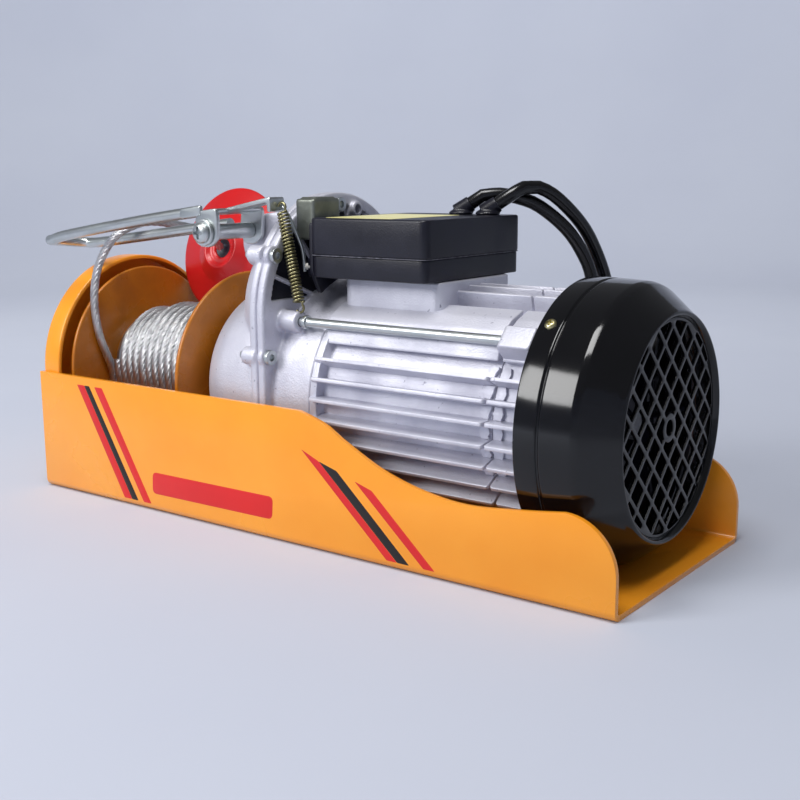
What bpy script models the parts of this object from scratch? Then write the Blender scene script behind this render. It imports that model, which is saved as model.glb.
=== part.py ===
# A small electric rope hoist, standing on its sheet-metal frame: rope drum, gear case, finned
# motor with fan, terminal box, rope limit lever with weight and hook, handset and mains lead.
# Metres, +Z up. The origin is the middle of the frame's underside and +X runs from drum to motor.
import math

import bmesh
import bpy
from mathutils import Matrix, Vector

MM = 0.001
GAP = 0.3 * MM

# Frame: a bent channel with low walls beside the motor
FRAME_LENGTH = 420 * MM
FRAME_WIDTH = 152 * MM
SHEET = 3 * MM
WALL_HEIGHT = 78 * MM
BEND_RADIUS = 5 * MM
WALL_TOP_CURVE = [
    (224, 79), (245, 72.8), (258.5, 65.3), (284, 53.2), (310, 46), (337, 43), (369, 45.7), (392, 48.6),
]
END_CORNER_RADIUS = 28 * MM
HANGER_HOLE_RADIUS = 4.5 * MM
HANGER_HOLES = [(-140, -45), (-140, 45), (150, -45), (150, 45)]

# Shaft lines
AXIS_Z = 78 * MM
GEAR_MODULE = 2 * MM
PINION_TEETH = 10
WHEEL_TEETH = 38
TOOTH_SHIFT = 0.5
PRESSURE_ANGLE = math.radians(20)
BACKLASH = 0.24 * MM
LAYSHAFT_Z = AXIS_Z + GEAR_MODULE * (PINION_TEETH + WHEEL_TEETH) / 2

# Stations along X, in mm from the drum end of the frame
PLATE_RIM_X = 15
DRUM_LEFT_X = 18
DRUM_RIGHT_X = 118
BELL_FRONT_X = 126
CASE_JOINT_X = 190
CASE_FLANGE = 4
COLLAR_END_X = 224
HOUSING_END_X = 340
SHIELD_END_X = 362
COVER_FACE_X = 413

# Drum and rope
DRUM_FLANGE_RADIUS = 65 * MM
BARREL_RADIUS = 29 * MM
SHAFT_RADIUS = 9 * MM
LARGE_BEARING_RADIUS = 16 * MM
SMALL_BEARING_RADIUS = 10 * MM
ROPE_RADIUS = 2.7 * MM
ROPE_PITCH = 6.0 * MM
ROPE_TURNS_LOW = 4
ROPE_TURNS_HIGH = 10
ROPE_LOW_RADIUS = 35.6 * MM
ROPE_HIGH_RADIUS = 40.0 * MM
ROPE_POINTS_PER_TURN = 12

# Motor
COLLAR_RADIUS = 62.5 * MM
FIN_ROOT_RADIUS = 59.5 * MM
FIN_TIP_RADIUS = 67 * MM
FIN_HALF_THICKNESS = 1.3 * MM
FIN_STEP = math.radians(10)
BORE_RADIUS = 52 * MM
COVER_RADIUS = 74 * MM
GRILLE_RADIUS = 58 * MM
GRILLE_CELL = 24 * MM
GRILLE_BAR = 3 * MM
FAN_BLADES = 5

# Rope limit lever: a rod loop in a sheet bracket that turns on a cross screw
LEVER_PIVOT = (150, 172)
LOOP_ROD_RADIUS = 3.4 * MM
SPRING_RADIUS = 2.8 * MM
SPRING_WIRE = 0.7 * MM
SPRING_CURLS = 16
SPRING_POINTS = 8

# Cables
CABLE_RADIUS = 4 * MM
COIL_STEP = 8.7 * MM
COIL_POINTS = 16
COIL_LOW_Z = 6 * MM

WORLD_UP = Vector((0, 0, 1))


def station(millimetres):
    """World X of a place given in mm from the drum end of the frame."""
    return millimetres * MM - FRAME_LENGTH / 2


def place(x, y, z):
    """World point from a station and a Y and Z in mm."""
    return Vector((station(x), y * MM, z * MM))


# Scene, collections and materials
for old in list(bpy.data.objects):
    bpy.data.objects.remove(old, do_unlink=True)
PARTS = bpy.data.collections.new("rope_hoist")
CUTTERS = bpy.data.collections.new("cutters")
bpy.context.scene.collection.children.link(PARTS)
bpy.context.scene.collection.children.link(CUTTERS)


def material(name, colour, roughness, metallic):
    made = bpy.data.materials.new(name)
    made.use_nodes = True
    shader = made.node_tree.nodes["Principled BSDF"]
    shader.inputs["Base Color"].default_value = (*colour, 1)
    shader.inputs["Roughness"].default_value = roughness
    shader.inputs["Metallic"].default_value = metallic
    made.diffuse_color = (*colour, 1)
    return made


ORANGE_PAINT = material("orange_paint", (0.85, 0.33, 0.02), 0.35, 0)
RED_PAINT = material("red_paint", (0.72, 0.02, 0.03), 0.35, 0)
CAST_ALUMINIUM = material("cast_aluminium", (0.66, 0.67, 0.70), 0.5, 1)
ZINC = material("zinc_plate", (0.55, 0.58, 0.58), 0.3, 1)
YELLOW_ZINC = material("yellow_zinc", (0.50, 0.42, 0.20), 0.35, 1)
STEEL = material("steel", (0.45, 0.45, 0.46), 0.35, 1)
ROPE_WIRE = material("rope_wire", (0.55, 0.55, 0.55), 0.4, 1)
COPPER = material("copper_winding", (0.55, 0.22, 0.08), 0.4, 1)
BLACK_GLOSS = material("black_gloss_paint", (0.008, 0.008, 0.01), 0.15, 0)
BLACK_PLASTIC = material("black_plastic", (0.015, 0.015, 0.018), 0.55, 0)
CABLE_PVC = material("cable_pvc", (0.01, 0.01, 0.011), 0.3, 0)
GREEN_BUTTON = material("green_button", (0.02, 0.3, 0.06), 0.4, 0)
RED_BUTTON = material("red_button", (0.6, 0.02, 0.02), 0.4, 0)
WHITE_NYLON = material("white_nylon", (0.7, 0.7, 0.68), 0.5, 0)


# Modelling helpers
def add(name, data, finish):
    """Make an object of a mesh or curve: a part with a finish, or a cutter without one."""
    made = bpy.data.objects.new(name, data)
    (PARTS if finish else CUTTERS).objects.link(made)
    if finish:
        data.materials.append(finish)
    else:
        made.hide_render = True
        made.display_type = "WIRE"
    return made


def add_bmesh(name, shape, finish):
    shape.normal_update()
    bmesh.ops.recalc_face_normals(shape, faces=shape.faces)
    mesh = bpy.data.meshes.new(name)
    shape.to_mesh(mesh)
    shape.free()
    mesh.shade_smooth()
    mesh.set_sharp_from_angle(angle=math.radians(35))
    return add(name, mesh, finish)


def as_mesh(curve_object, finish):
    """Turn a curve object into a closed mesh object of the same name and place."""
    name = curve_object.name
    graph = bpy.context.evaluated_depsgraph_get()
    mesh = bpy.data.meshes.new_from_object(curve_object.evaluated_get(graph))
    shape = bmesh.new()
    shape.from_mesh(mesh)
    bmesh.ops.remove_doubles(shape, verts=shape.verts, dist=1e-6)
    shape.transform(curve_object.matrix_world)
    bpy.data.meshes.remove(mesh)
    bpy.data.objects.remove(curve_object, do_unlink=True)
    return add_bmesh(name, shape, finish)


def prism(name, loops, low, high, axis, finish=None):
    """Extrude a flat outline and its holes along an axis; loops hold the other two coordinates."""
    curve = bpy.data.curves.new(name, "CURVE")
    curve.dimensions = "2D"
    curve.fill_mode = "BOTH"
    curve.extrude = (high - low) / 2
    for loop in loops:
        spline = curve.splines.new("POLY")
        spline.points.add(len(loop) - 1)
        for point, (u, v) in zip(spline.points, loop):
            point.co = (u, v, 0, 1)
        spline.use_cyclic_u = True
    flat = add(name, curve, None)
    middle = (low + high) / 2
    turns = {
        "X": Matrix(((0, 0, 1, middle), (1, 0, 0, 0), (0, 1, 0, 0), (0, 0, 0, 1))),
        "Y": Matrix(((1, 0, 0, 0), (0, 0, -1, middle), (0, 1, 0, 0), (0, 0, 0, 1))),
        "Z": Matrix.Translation((0, 0, middle)),
    }
    flat.matrix_world = turns[axis]
    bpy.context.view_layer.update()
    return as_mesh(flat, finish)


def turned(name, profile, finish=None, z=AXIS_Z, steps=24):
    """Turn a profile of (station in mm, radius) points about an X axis at height z."""
    points = [(radius, along * MM - FRAME_LENGTH / 2) for along, radius in profile]
    closed = points[0][0] > 0 or points[-1][0] > 0
    area = sum(a[0] * b[1] - b[0] * a[1] for a, b in zip(points, points[1:] + points[:1]))
    if area > 0:
        points.reverse()
    mesh = bpy.data.meshes.new(name)
    edges = [(i, i + 1) for i in range(len(points) - 1)]
    if closed:
        edges.append((len(points) - 1, 0))
    mesh.from_pydata([(radius, 0, along) for radius, along in points], edges, [])
    made = add(name, mesh, finish)
    screw = made.modifiers.new("turn", "SCREW")
    screw.steps = screw.render_steps = steps
    screw.use_merge_vertices = True
    screw.merge_threshold = 0.00001
    screw.use_smooth_shade = True
    made.location = (0, 0, z)
    made.rotation_euler = (0, math.pi / 2, 0)
    return made


def plug(name, start, end, radius, z=AXIS_Z, steps=24):
    """A round cutter or boss on a shaft line, between two stations."""
    return turned(name, [(start, 0), (start, radius), (end, radius), (end, 0)], None, z, steps)


def cylinder(name, start, end, radius, finish=None, sides=8, end_radius=None):
    start, end = Vector(start), Vector(end)
    along = end - start
    shape = bmesh.new()
    bmesh.ops.create_cone(
        shape, cap_ends=True, segments=sides, radius1=radius,
        radius2=radius if end_radius is None else end_radius, depth=along.length,
    )
    turn = along.to_track_quat("Z", "Y").to_matrix().to_4x4()
    shape.transform(Matrix.Translation((start + end) / 2) @ turn)
    return add_bmesh(name, shape, finish)


def box(name, low, high, finish=None, bevel=0.0):
    low, high = Vector(low), Vector(high)
    shape = bmesh.new()
    bmesh.ops.create_cube(shape, size=1)
    shape.transform(Matrix.Translation((low + high) / 2) @ Matrix.Diagonal((*(high - low), 1)))
    made = add_bmesh(name, shape, finish)
    if bevel:
        rounding = made.modifiers.new("rounding", "BEVEL")
        rounding.width = bevel
        rounding.segments = 1
    return made


def tube(name, points, radius, finish=None, resolution=2, radii=None):
    """A round bar along points, as a poly curve with closed ends."""
    curve = bpy.data.curves.new(name, "CURVE")
    curve.dimensions = "3D"
    curve.bevel_depth = radius
    curve.bevel_resolution = resolution
    curve.use_fill_caps = True
    spline = curve.splines.new("POLY")
    spline.points.add(len(points) - 1)
    for i, (point, where) in enumerate(zip(spline.points, points)):
        point.co = (*where, 1)
        point.radius = radii[i] if radii else 1
    spline.use_smooth = True
    return add(name, curve, finish)


def bar(name, points, radius, finish=None, resolution=2, radii=None):
    """A round bar as a mesh, so that it can be cut or joined."""
    return as_mesh(tube(name, points, radius, None, resolution, radii), finish)


def combine(target, operation, tools, solver):
    for tool in tools:
        change = target.modifiers.new(tool.name, "BOOLEAN")
        change.operation = operation
        change.solver = solver
        change.object = tool
    return target


def cut(target, *tools, solver="EXACT"):
    return combine(target, "DIFFERENCE", tools, solver)


def fuse(target, *tools, solver="EXACT"):
    return combine(target, "UNION", tools, solver)


def arc(centre, radius, start, end, count):
    """Points on an arc, angles in degrees."""
    turns = [math.radians(start + (end - start) * i / count) for i in range(count + 1)]
    return [(centre[0] + radius * math.cos(t), centre[1] + radius * math.sin(t)) for t in turns]


def smooth_path(points, spacing):
    """Points a steady step apart on a smooth curve through the given ones."""
    ends = [2 * points[0] - points[1], *points, 2 * points[-1] - points[-2]]
    fine = []
    for a, b, c, d in zip(ends, ends[1:], ends[2:], ends[3:]):
        for i in range(16):
            t = i / 16
            fine.append(0.5 * (2 * b + (c - a) * t + (2 * a - 5 * b + 4 * c - d) * t ** 2
                               + (3 * b - a - 3 * c + d) * t ** 3))
    fine.append(points[-1])
    total = sum((b - a).length for a, b in zip(fine, fine[1:]))
    count = max(2, round(total / spacing))
    path, walked, want = [fine[0]], 0.0, total / count
    for a, b in zip(fine, fine[1:]):
        step = (b - a).length
        while len(path) < count and walked + step >= want * len(path):
            path.append(a.lerp(b, (want * len(path) - walked) / step))
        walked += step
    path.append(fine[-1])
    return path


def least_gap(points, diameter, neighbours):
    """Smallest clear space between stretches of a tube that are not next to each other."""
    least = math.inf
    for i, a in enumerate(points):
        for b in points[i + neighbours:]:
            least = min(least, (b - a).length)
    return least - diameter


def report_gap(name, points, diameter, neighbours):
    print(f"{name}: least gap to itself {least_gap(points, diameter, neighbours) / MM:.2f} mm")


def stadium(half_width, low_z, high_z, count=16):
    """Outline in Y and Z: two half circles about the shaft lines with straight sides."""
    return arc((0, high_z), half_width, 0, 180, count) + arc((0, low_z), half_width, 180, 360, count)


# Frame and end plate
def frame_channel():
    half, top, outer = FRAME_WIDTH / 2, WALL_HEIGHT, BEND_RADIUS
    inner = outer - SHEET
    section = [(-half, top)]
    section += arc((-half + outer, outer), outer, 180, 270, 4)
    section += arc((half - outer, outer), outer, 270, 360, 4)
    section += [(half, top), (half - SHEET, top)]
    section += arc((half - outer, outer), inner, 360, 270, 3)
    section += arc((-half + outer, outer), inner, 270, 180, 3)
    section += [(-half + SHEET, top)]
    channel = prism("frame_channel", [section], -FRAME_LENGTH / 2, FRAME_LENGTH / 2, "X", ORANGE_PAINT)
    rise = [Vector((station(x), 0, z * MM)) for x, z in WALL_TOP_CURVE]
    edge = [(p.x, p.z) for p in smooth_path(rise, 17 * MM)]
    corner = (FRAME_LENGTH / 2 - END_CORNER_RADIUS, WALL_TOP_CURVE[-1][1] * MM - END_CORNER_RADIUS)
    edge += arc(corner, END_CORNER_RADIUS, 90, 0, 6)[1:]
    past = FRAME_LENGTH / 2 + 10 * MM
    edge += [(past, corner[1]), (past, top + 10 * MM), (edge[0][0], top + 10 * MM)]
    above = prism("wall_top_cutter", [edge], -half - 10 * MM, half + 10 * MM, "Y")
    holes = []
    for i, (x, y) in enumerate(HANGER_HOLES):
        low, high = (x * MM, y * MM, -SHEET), (x * MM, y * MM, 2 * SHEET)
        holes.append(cylinder(f"hanger_hole_{i}", low, high, HANGER_HOLE_RADIUS, sides=16))
    return cut(channel, above, *holes)


def arch_outline(inset, foot):
    """Outline of the drum end plate in Y and Z, drawn in by an inset and standing at a foot height."""
    radius = FRAME_WIDTH / 2 - SHEET - 0.6 * MM - inset
    corner = BEND_RADIUS
    inner = radius - corner
    foot_line = [(-radius, foot + corner), (-inner, foot), (inner, foot), (radius, foot + corner)]
    return arc((0, AXIS_Z), radius, 0, 180, 18) + foot_line


def drum_end_plate():
    rim_wall = 2.4 * MM
    foot = SHEET + GAP
    whole, room = arch_outline(0, foot), arch_outline(rim_wall, foot + rim_wall)
    plate = prism("drum_end_plate", [whole], station(0), station(PLATE_RIM_X), "X", ORANGE_PAINT)
    hollow = prism("end_plate_hollow", [room], station(0) + SHEET, station(PLATE_RIM_X + 5), "X")
    boss = plug("end_plate_boss", 1, 13, 22 * MM)
    seat = plug("end_bearing_seat", 2.7, 14, LARGE_BEARING_RADIUS + GAP)
    return cut(fuse(cut(plate, hollow), boss), seat)


def bearing(name, start, end, inner, outer, z=AXIS_Z):
    profile = [(start, inner), (start, outer), (end, outer), (end, inner)]
    return turned(name, profile, STEEL, z, 14)


# Drum and rope
def rope_drum():
    flange, bore = DRUM_FLANGE_RADIUS, SHAFT_RADIUS + GAP
    left, right, sheet = DRUM_LEFT_X, DRUM_RIGHT_X, 3
    return turned("rope_drum", [
        (left, bore), (left, flange), (left + sheet, flange), (left + sheet, BARREL_RADIUS),
        (right, BARREL_RADIUS), (right, flange + MM), (right + sheet, flange + MM), (right + sheet, bore),
    ], ORANGE_PAINT, steps=26)


def winding_radius(turn):
    """Radius of the rope's middle after a number of turns: one layer, a climb, then the next layer."""
    climb = min(1, max(0, (turn - ROPE_TURNS_LOW) / 0.5))
    return ROPE_LOW_RADIUS + (ROPE_HIGH_RADIUS - ROPE_LOW_RADIUS) * climb * climb * (3 - 2 * climb)


WINDING_START_X = station(DRUM_LEFT_X + 3) + 3 * ROPE_RADIUS + 1.2 * MM


def winding_points():
    turns = ROPE_TURNS_LOW + ROPE_TURNS_HIGH
    points = []
    for i in range(turns * ROPE_POINTS_PER_TURN + 1):
        turn = i / ROPE_POINTS_PER_TURN
        angle = math.pi + math.tau * turn
        radius = winding_radius(turn)
        y, z = radius * math.cos(angle), AXIS_Z + radius * math.sin(angle)
        points.append(Vector((WINDING_START_X + ROPE_PITCH * turn, y, z)))
    rise = 2 * ROPE_RADIUS
    return [points[0] + rise * WORLD_UP, *points, points[-1] - rise * WORLD_UP]


def rope_winding():
    points = winding_points()
    report_gap("rope_winding", points, 2 * ROPE_RADIUS, ROPE_POINTS_PER_TURN // 2)
    return tube("rope_winding", points, ROPE_RADIUS, ROPE_WIRE, 1)


def rope_inner_layers():
    start, bore = DRUM_LEFT_X + 3 + 0.3, BARREL_RADIUS + 2 * GAP
    climb = (WINDING_START_X - station(0)) / MM + ROPE_TURNS_LOW * ROPE_PITCH / MM
    flat = math.cos(math.pi / ROPE_POINTS_PER_TURN)
    low, high = (radius * flat - ROPE_RADIUS - GAP for radius in (ROPE_LOW_RADIUS, ROPE_HIGH_RADIUS))
    return turned("rope_inner_layers", [
        (start, bore), (start, low), (climb + 2.9, low), (climb + 4.2, high),
        (DRUM_RIGHT_X - 0.3, high), (DRUM_RIGHT_X - 0.3, bore),
    ], ROPE_WIRE, steps=20)


# Gears
def involute(angle):
    return math.tan(angle) - angle


def gear_outline(teeth, shift, phase):
    """Involute gear outline; a tooth is centred on the phase angle."""
    pitch = GEAR_MODULE * teeth / 2
    base = pitch * math.cos(PRESSURE_ANGLE)
    root = pitch - GEAR_MODULE * (1.25 - shift)
    tip = pitch + GEAR_MODULE * (0.92 + shift)
    half_at_base = (math.pi / 2 + 2 * shift * math.tan(PRESSURE_ANGLE)) / teeth + involute(PRESSURE_ANGLE)
    half_at_base -= BACKLASH / 2 / pitch
    start = max(base, root)
    flank = []
    if root < base - GEAR_MODULE / 4:
        flank.append((root, half_at_base - involute(math.acos(base / start))))
    for radius in (start, tip):
        flank.append((radius, half_at_base - involute(math.acos(min(1, base / radius)))))
    outline = []
    for tooth in range(teeth):
        middle = phase + math.tau * tooth / teeth
        outline += [(radius, middle - half) for radius, half in flank]
        outline += [(radius, middle + half) for radius, half in reversed(flank)]
    return [(radius * math.cos(turn), radius * math.sin(turn)) for radius, turn in outline]


def gear(name, teeth, shift, phase, start, end, z, finish=None, bore=None):
    outline = [(y, z + up) for y, up in gear_outline(teeth, shift, phase)]
    loops = [outline, arc((0, z), bore, 0, 337.5, 15)] if bore else [outline]
    return prism(name, loops, station(start), station(end), "X", finish)


UP, DOWN = math.pi / 2, -math.pi / 2
HALF_WHEEL_TOOTH = math.pi / WHEEL_TEETH
LAYSHAFT_RADIUS = 6 * MM
JOURNAL_RADIUS = 8.5 * MM


def drum_shaft():
    turned("drum_shaft", [
        (5, 0), (5, SHAFT_RADIUS), (143, SHAFT_RADIUS), (143, 0.014), (148.6, 0.014), (148.6, SHAFT_RADIUS),
        (171, SHAFT_RADIUS), (171, 0),
    ], STEEL, steps=16)
    bore = SHAFT_RADIUS + GAP
    gear("drum_gear", WHEEL_TEETH, -TOOTH_SHIFT, UP + HALF_WHEEL_TOOTH, 150, 165, AXIS_Z, STEEL, bore)


def layshaft():
    shaft = turned("layshaft", [
        (139, 0), (139, LAYSHAFT_RADIUS), (170, LAYSHAFT_RADIUS), (170, 0.0085), (175, 0.0085),
        (175, LAYSHAFT_RADIUS), (198, LAYSHAFT_RADIUS), (198, 0),
    ], STEEL, LAYSHAFT_Z, 12)
    pinion = gear("layshaft_pinion", PINION_TEETH, TOOTH_SHIFT, DOWN, 149, 167, LAYSHAFT_Z)
    fuse(shaft, pinion)
    phase, bore = DOWN + HALF_WHEEL_TOOTH, LAYSHAFT_RADIUS + GAP
    gear("layshaft_wheel", WHEEL_TEETH, -TOOTH_SHIFT, phase, 176, 186, LAYSHAFT_Z, STEEL, bore)


def motor_shaft():
    shaft = turned("motor_shaft", [
        (189, 0), (189, 0.0055), (191, 0.0055), (191, JOURNAL_RADIUS), (212, JOURNAL_RADIUS), (212, 0.012),
        (350, 0.012), (350, JOURNAL_RADIUS), (358, JOURNAL_RADIUS), (358, 0.006), (392, 0.006), (392, 0),
    ], STEEL, steps=12)
    pinion = gear("motor_pinion", PINION_TEETH, TOOTH_SHIFT, UP, 175, 189.5, AXIS_Z)
    return fuse(shaft, pinion)


# Gear case
CASE_HALF_WIDTH = 68 * MM
CASE_BOLTS = [(-64, 103), (64, 103), (-57, 160), (57, 160), (0, 187)]
CASE_BOSS_RADIUS = 5.5 * MM
LUG_FACE_Y = -24 * MM
LUG_OUTLINE = [
    (138, 162), (143, 150), (172, 150), (187.3, 160), (187.3, 184), (180, 184), (158, 182),
    (146, 179), (139, 171),
]
SCREW_HOLE_RADIUS = 2.8 * MM


def along_x(name, start, end, y, z, radius, finish=None, sides=8):
    """A round bar between two stations at a Y and Z in mm."""
    ends = place(start, y, z), place(end, y, z)
    return cylinder(name, *ends, radius, finish, sides)


def gear_case_front():
    joint = CASE_JOINT_X
    flange = prism(
        "gear_case_front", [stadium(CASE_HALF_WIDTH, AXIS_Z, LAYSHAFT_Z)],
        station(joint - CASE_FLANGE), station(joint) - GAP / 2, "X", CAST_ALUMINIUM,
    )
    bell = turned("case_bell", [
        (BELL_FRONT_X, 0), (BELL_FRONT_X, 0.040), (BELL_FRONT_X + 2, 0.046), (138, 0.056), (150, 0.061),
        (172, 0.0645), (joint - 2, 0.0655), (joint - 2, 0),
    ], steps=20)
    dome = turned("case_dome", [
        (137, 0), (137, 0.016), (146, 0.020), (151, 0.034), (160, 0.046), (172, 0.055),
        (joint - 1.4, 0.060), (joint - 1.4, 0),
    ], z=LAYSHAFT_Z, steps=20)
    lug_outline = [(station(x), z * MM) for x, z in LUG_OUTLINE]
    lug = prism("case_lug", [lug_outline], LUG_FACE_Y, LUG_FACE_Y + 10 * MM, "Y")
    foot = box("case_foot", (station(168), -0.052, SHEET + GAP), (station(joint) - GAP, 0.052, 0.022))
    bosses = [
        along_x(f"front_boss_{i}", 178, joint - 1, y, z, CASE_BOSS_RADIUS)
        for i, (y, z) in enumerate(CASE_BOLTS)
    ]
    low_room = turned("bell_room", [
        (148, 0), (148, 0.044), (168, 0.046), (joint + 2, 0.050), (joint + 2, 0),
    ], steps=16)
    high_room = turned("dome_room", [
        (147.4, 0), (147.4, 0.016), (173, 0.016), (174, 0.0445), (joint + 3, 0.0445), (joint + 3, 0),
    ], z=LAYSHAFT_Z, steps=16)
    shaft_hole = plug("drum_shaft_hole", 120, 150, LARGE_BEARING_RADIUS + GAP)
    lay_hole = plug("layshaft_front_seat", 138.4, 150, SMALL_BEARING_RADIUS + GAP, LAYSHAFT_Z, 20)
    holes = [case_bolt_hole(i, y, z) for i, (y, z) in enumerate(CASE_BOLTS)]
    thread_x, thread_z = station(LEVER_PIVOT[0]), LEVER_PIVOT[1] * MM
    thread_ends = [(thread_x, LUG_FACE_Y + reach, thread_z) for reach in (-MM, 8 * MM)]
    pivot = cylinder("lug_thread", *thread_ends, SCREW_HOLE_RADIUS)
    # The exact solver leaves open slivers where these castings' round shapes meet
    fuse(flange, bell, dome, lug, foot, *bosses, solver="MANIFOLD")
    return cut(flange, low_room, high_room, shaft_hole, lay_hole, pivot, *holes, solver="MANIFOLD")


def case_bolt_hole(index, y, z):
    return along_x(f"case_bolt_hole_{index}", 170, 220, y, z, SCREW_HOLE_RADIUS)


def gear_case_rear():
    joint = CASE_JOINT_X
    flange = prism(
        "gear_case_rear", [stadium(CASE_HALF_WIDTH, AXIS_Z, LAYSHAFT_Z)],
        station(joint) + GAP / 2, station(joint + CASE_FLANGE), "X", CAST_ALUMINIUM,
    )
    collar = plug("motor_collar", joint + 2, COLLAR_END_X - 0.3, COLLAR_RADIUS)
    boss = plug("lay_rear_boss", joint + 1.4, 204, 17 * MM, LAYSHAFT_Z, 20)
    bosses = [
        along_x(f"rear_boss_{i}", joint + 1, 195, y, z, CASE_BOSS_RADIUS)
        for i, (y, z) in enumerate(CASE_BOLTS)
    ]
    rod_bosses = [
        along_x(f"rod_boss_{i}", joint + 2.6, 209, y, z, 6 * MM, sides=10)
        for i, (y, z) in enumerate(TIE_RODS)
    ]
    room = plug("collar_room", 207, COLLAR_END_X + 5, 54 * MM)
    motor_seat = plug("motor_front_seat", 198, 210, LARGE_BEARING_RADIUS + GAP)
    pinion_hole = plug("pinion_hole", 186, 200, 14 * MM, steps=20)
    lay_seat = plug("layshaft_rear_seat", 188, 199, SMALL_BEARING_RADIUS + GAP, LAYSHAFT_Z, 20)
    holes = [case_bolt_hole(i + 10, y, z) for i, (y, z) in enumerate(CASE_BOLTS)]
    rod_holes = [
        along_x(f"rod_hole_{i}", 201, 230, y, z, TIE_ROD_RADIUS + GAP)
        for i, (y, z) in enumerate(TIE_RODS)
    ]
    fuse(flange, collar, boss, *bosses, *rod_bosses, solver="MANIFOLD")
    return cut(flange, room, motor_seat, pinion_hole, lay_seat, *holes, *rod_holes, solver="MANIFOLD")


def case_bolt(index, y, z):
    """Cap screw through both halves of the gear case, its head on the motor side."""
    screw = along_x(f"gear_case_bolt_{index + 1}", 175, 196.5, y, z, 2.5 * MM, ZINC)
    head = along_x(f"bolt_head_{index}", 195.3, 198, y, z, 4.3 * MM, sides=10)
    return fuse(screw, head)


# Motor
TIE_RODS = [(-51, 123), (51, 123)]
TIE_ROD_RADIUS = 2.6 * MM
ROD_LAND_HALF_WIDTH = 6.5 * MM


def fin_angles():
    """Angles of the cooling fins: ten degrees apart, left out round the tie rods."""
    angles = []
    for i in range(36):
        turn = math.remainder(math.radians(6) + FIN_STEP * i, math.tau)
        from_rod = min(abs(math.remainder(turn - rod, math.tau)) for rod in ROD_ANGLES)
        if from_rod > math.radians(8):
            angles.append(turn)
    return angles


ROD_ANGLES = [math.atan2(z * MM - AXIS_Z, y * MM) for y, z in TIE_RODS]


def finned_outline(rod_lands):
    """Round body with radial fins, plain down in the channel, in Y and Z, and lands for the tie rods."""
    root = FIN_ROOT_RADIUS
    ribs = [(turn, FIN_HALF_THICKNESS, FIN_TIP_RADIUS) for turn in fin_angles()]
    if rod_lands:
        ribs += [(turn, ROD_LAND_HALF_WIDTH, COVER_RADIUS - MM) for turn in ROD_ANGLES]
    outline = []
    for middle, half, tip in sorted(ribs):
        in_channel = math.sin(middle) < -0.6
        for radius, side in [(root, 0)] if in_channel else [(root, -1), (tip, -0.7), (tip, 0.7), (root, 1)]:
            turn = middle + side * half / radius
            outline.append((radius * math.cos(turn), AXIS_Z + radius * math.sin(turn)))
    return outline


def motor_housing():
    bore = arc((0, AXIS_Z), BORE_RADIUS, 0, 345, 23)
    ends = station(COLLAR_END_X), station(HOUSING_END_X)
    body = prism("motor_housing", [finned_outline(False), bore], *ends, "X", CAST_ALUMINIUM)
    pad = box("box_pad", place(228, -36, 128), place(294, 36, BOX_LOW[2]) - GAP * WORLD_UP)
    clear = plug("pad_bore", 220, 300, BORE_RADIUS + 2 * MM)
    return fuse(body, cut(pad, clear))


def rear_end_shield():
    ring = arc((0, AXIS_Z), BORE_RADIUS, 0, 345, 23)
    rod_holes = [arc((y * MM, z * MM), TIE_ROD_RADIUS + GAP, 0, 324, 9) for y, z in TIE_RODS]
    ends = station(HOUSING_END_X) + GAP, station(SHIELD_END_X)
    shield = prism("rear_end_shield", [finned_outline(True), ring, *rod_holes], *ends, "X", CAST_ALUMINIUM)
    seat, edge = LARGE_BEARING_RADIUS + GAP, BORE_RADIUS + 3 * MM
    web = turned("shield_web", [(350, seat), (350, edge), (356, edge), (361, 0.022), (361, seat)])
    return fuse(shield, web)


def tie_rod(index, y, z):
    return along_x(f"tie_rod_{index + 1}", 203, 350, y, z, TIE_ROD_RADIUS, ZINC, 12)


def fan_cover():
    """Spun cap: a band, a short cylinder and a cone, closed by a flat grille of diamond holes."""
    face, wall, start, shoulder = COVER_FACE_X, 2.2, SHIELD_END_X + 0.3, 394
    outer, edge, lip = COVER_RADIUS, GRILLE_RADIUS, GRILLE_RADIUS - 4 * MM
    cover = turned("fan_cover", [
        (start, outer - wall * MM), (start, outer), (375, outer), (376, outer - MM),
        (shoulder, outer - 1.5 * MM), (face - 2, edge + 2 * MM), (face, edge),
        (face, lip), (face - wall, lip), (shoulder, outer - 5 * MM),
    ], BLACK_GLOSS, steps=26)
    half = GRILLE_CELL / 2
    hole = (GRILLE_CELL - GRILLE_BAR * math.sqrt(2)) / 2
    reach = int(GRILLE_RADIUS / half)
    loops = [arc((0, AXIS_Z), GRILLE_RADIUS - 2.6 * MM, 0, 345, 23)]
    for row in range(-reach, reach + 1):
        for column in range(-reach, reach + 1):
            y, z = column * half, row * half
            staggered, hub = (row + column) % 2 == 0, row == column == 0
            if staggered and not hub and math.hypot(y, z) + hole < GRILLE_RADIUS - 5 * MM:
                loops.append(arc((y, AXIS_Z + z), hole, 0, 270, 3))
    grille = prism("grille", loops, station(face - wall + 0.4), station(face - 0.4), "X")
    return fuse(cover, grille)


def cooling_fan():
    bore = 6.3 * MM
    hub = turned("cooling_fan", [
        (372, bore), (372, 0.016), (374, 0.056), (376, 0.056), (377, 0.017), (390, 0.014), (390, bore),
    ], BLACK_PLASTIC, steps=16)
    blades = []
    for i in range(FAN_BLADES):
        turn = math.tau * i / FAN_BLADES
        blade = box(f"fan_blade_{i}", (station(375), 0.012, -0.0012), (station(396), 0.058, 0.0012))
        blade.matrix_world = Matrix.Translation((0, 0, AXIS_Z)) @ Matrix.Rotation(turn, 4, "X")
        blades.append(blade)
    return fuse(hub, *blades)


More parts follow.
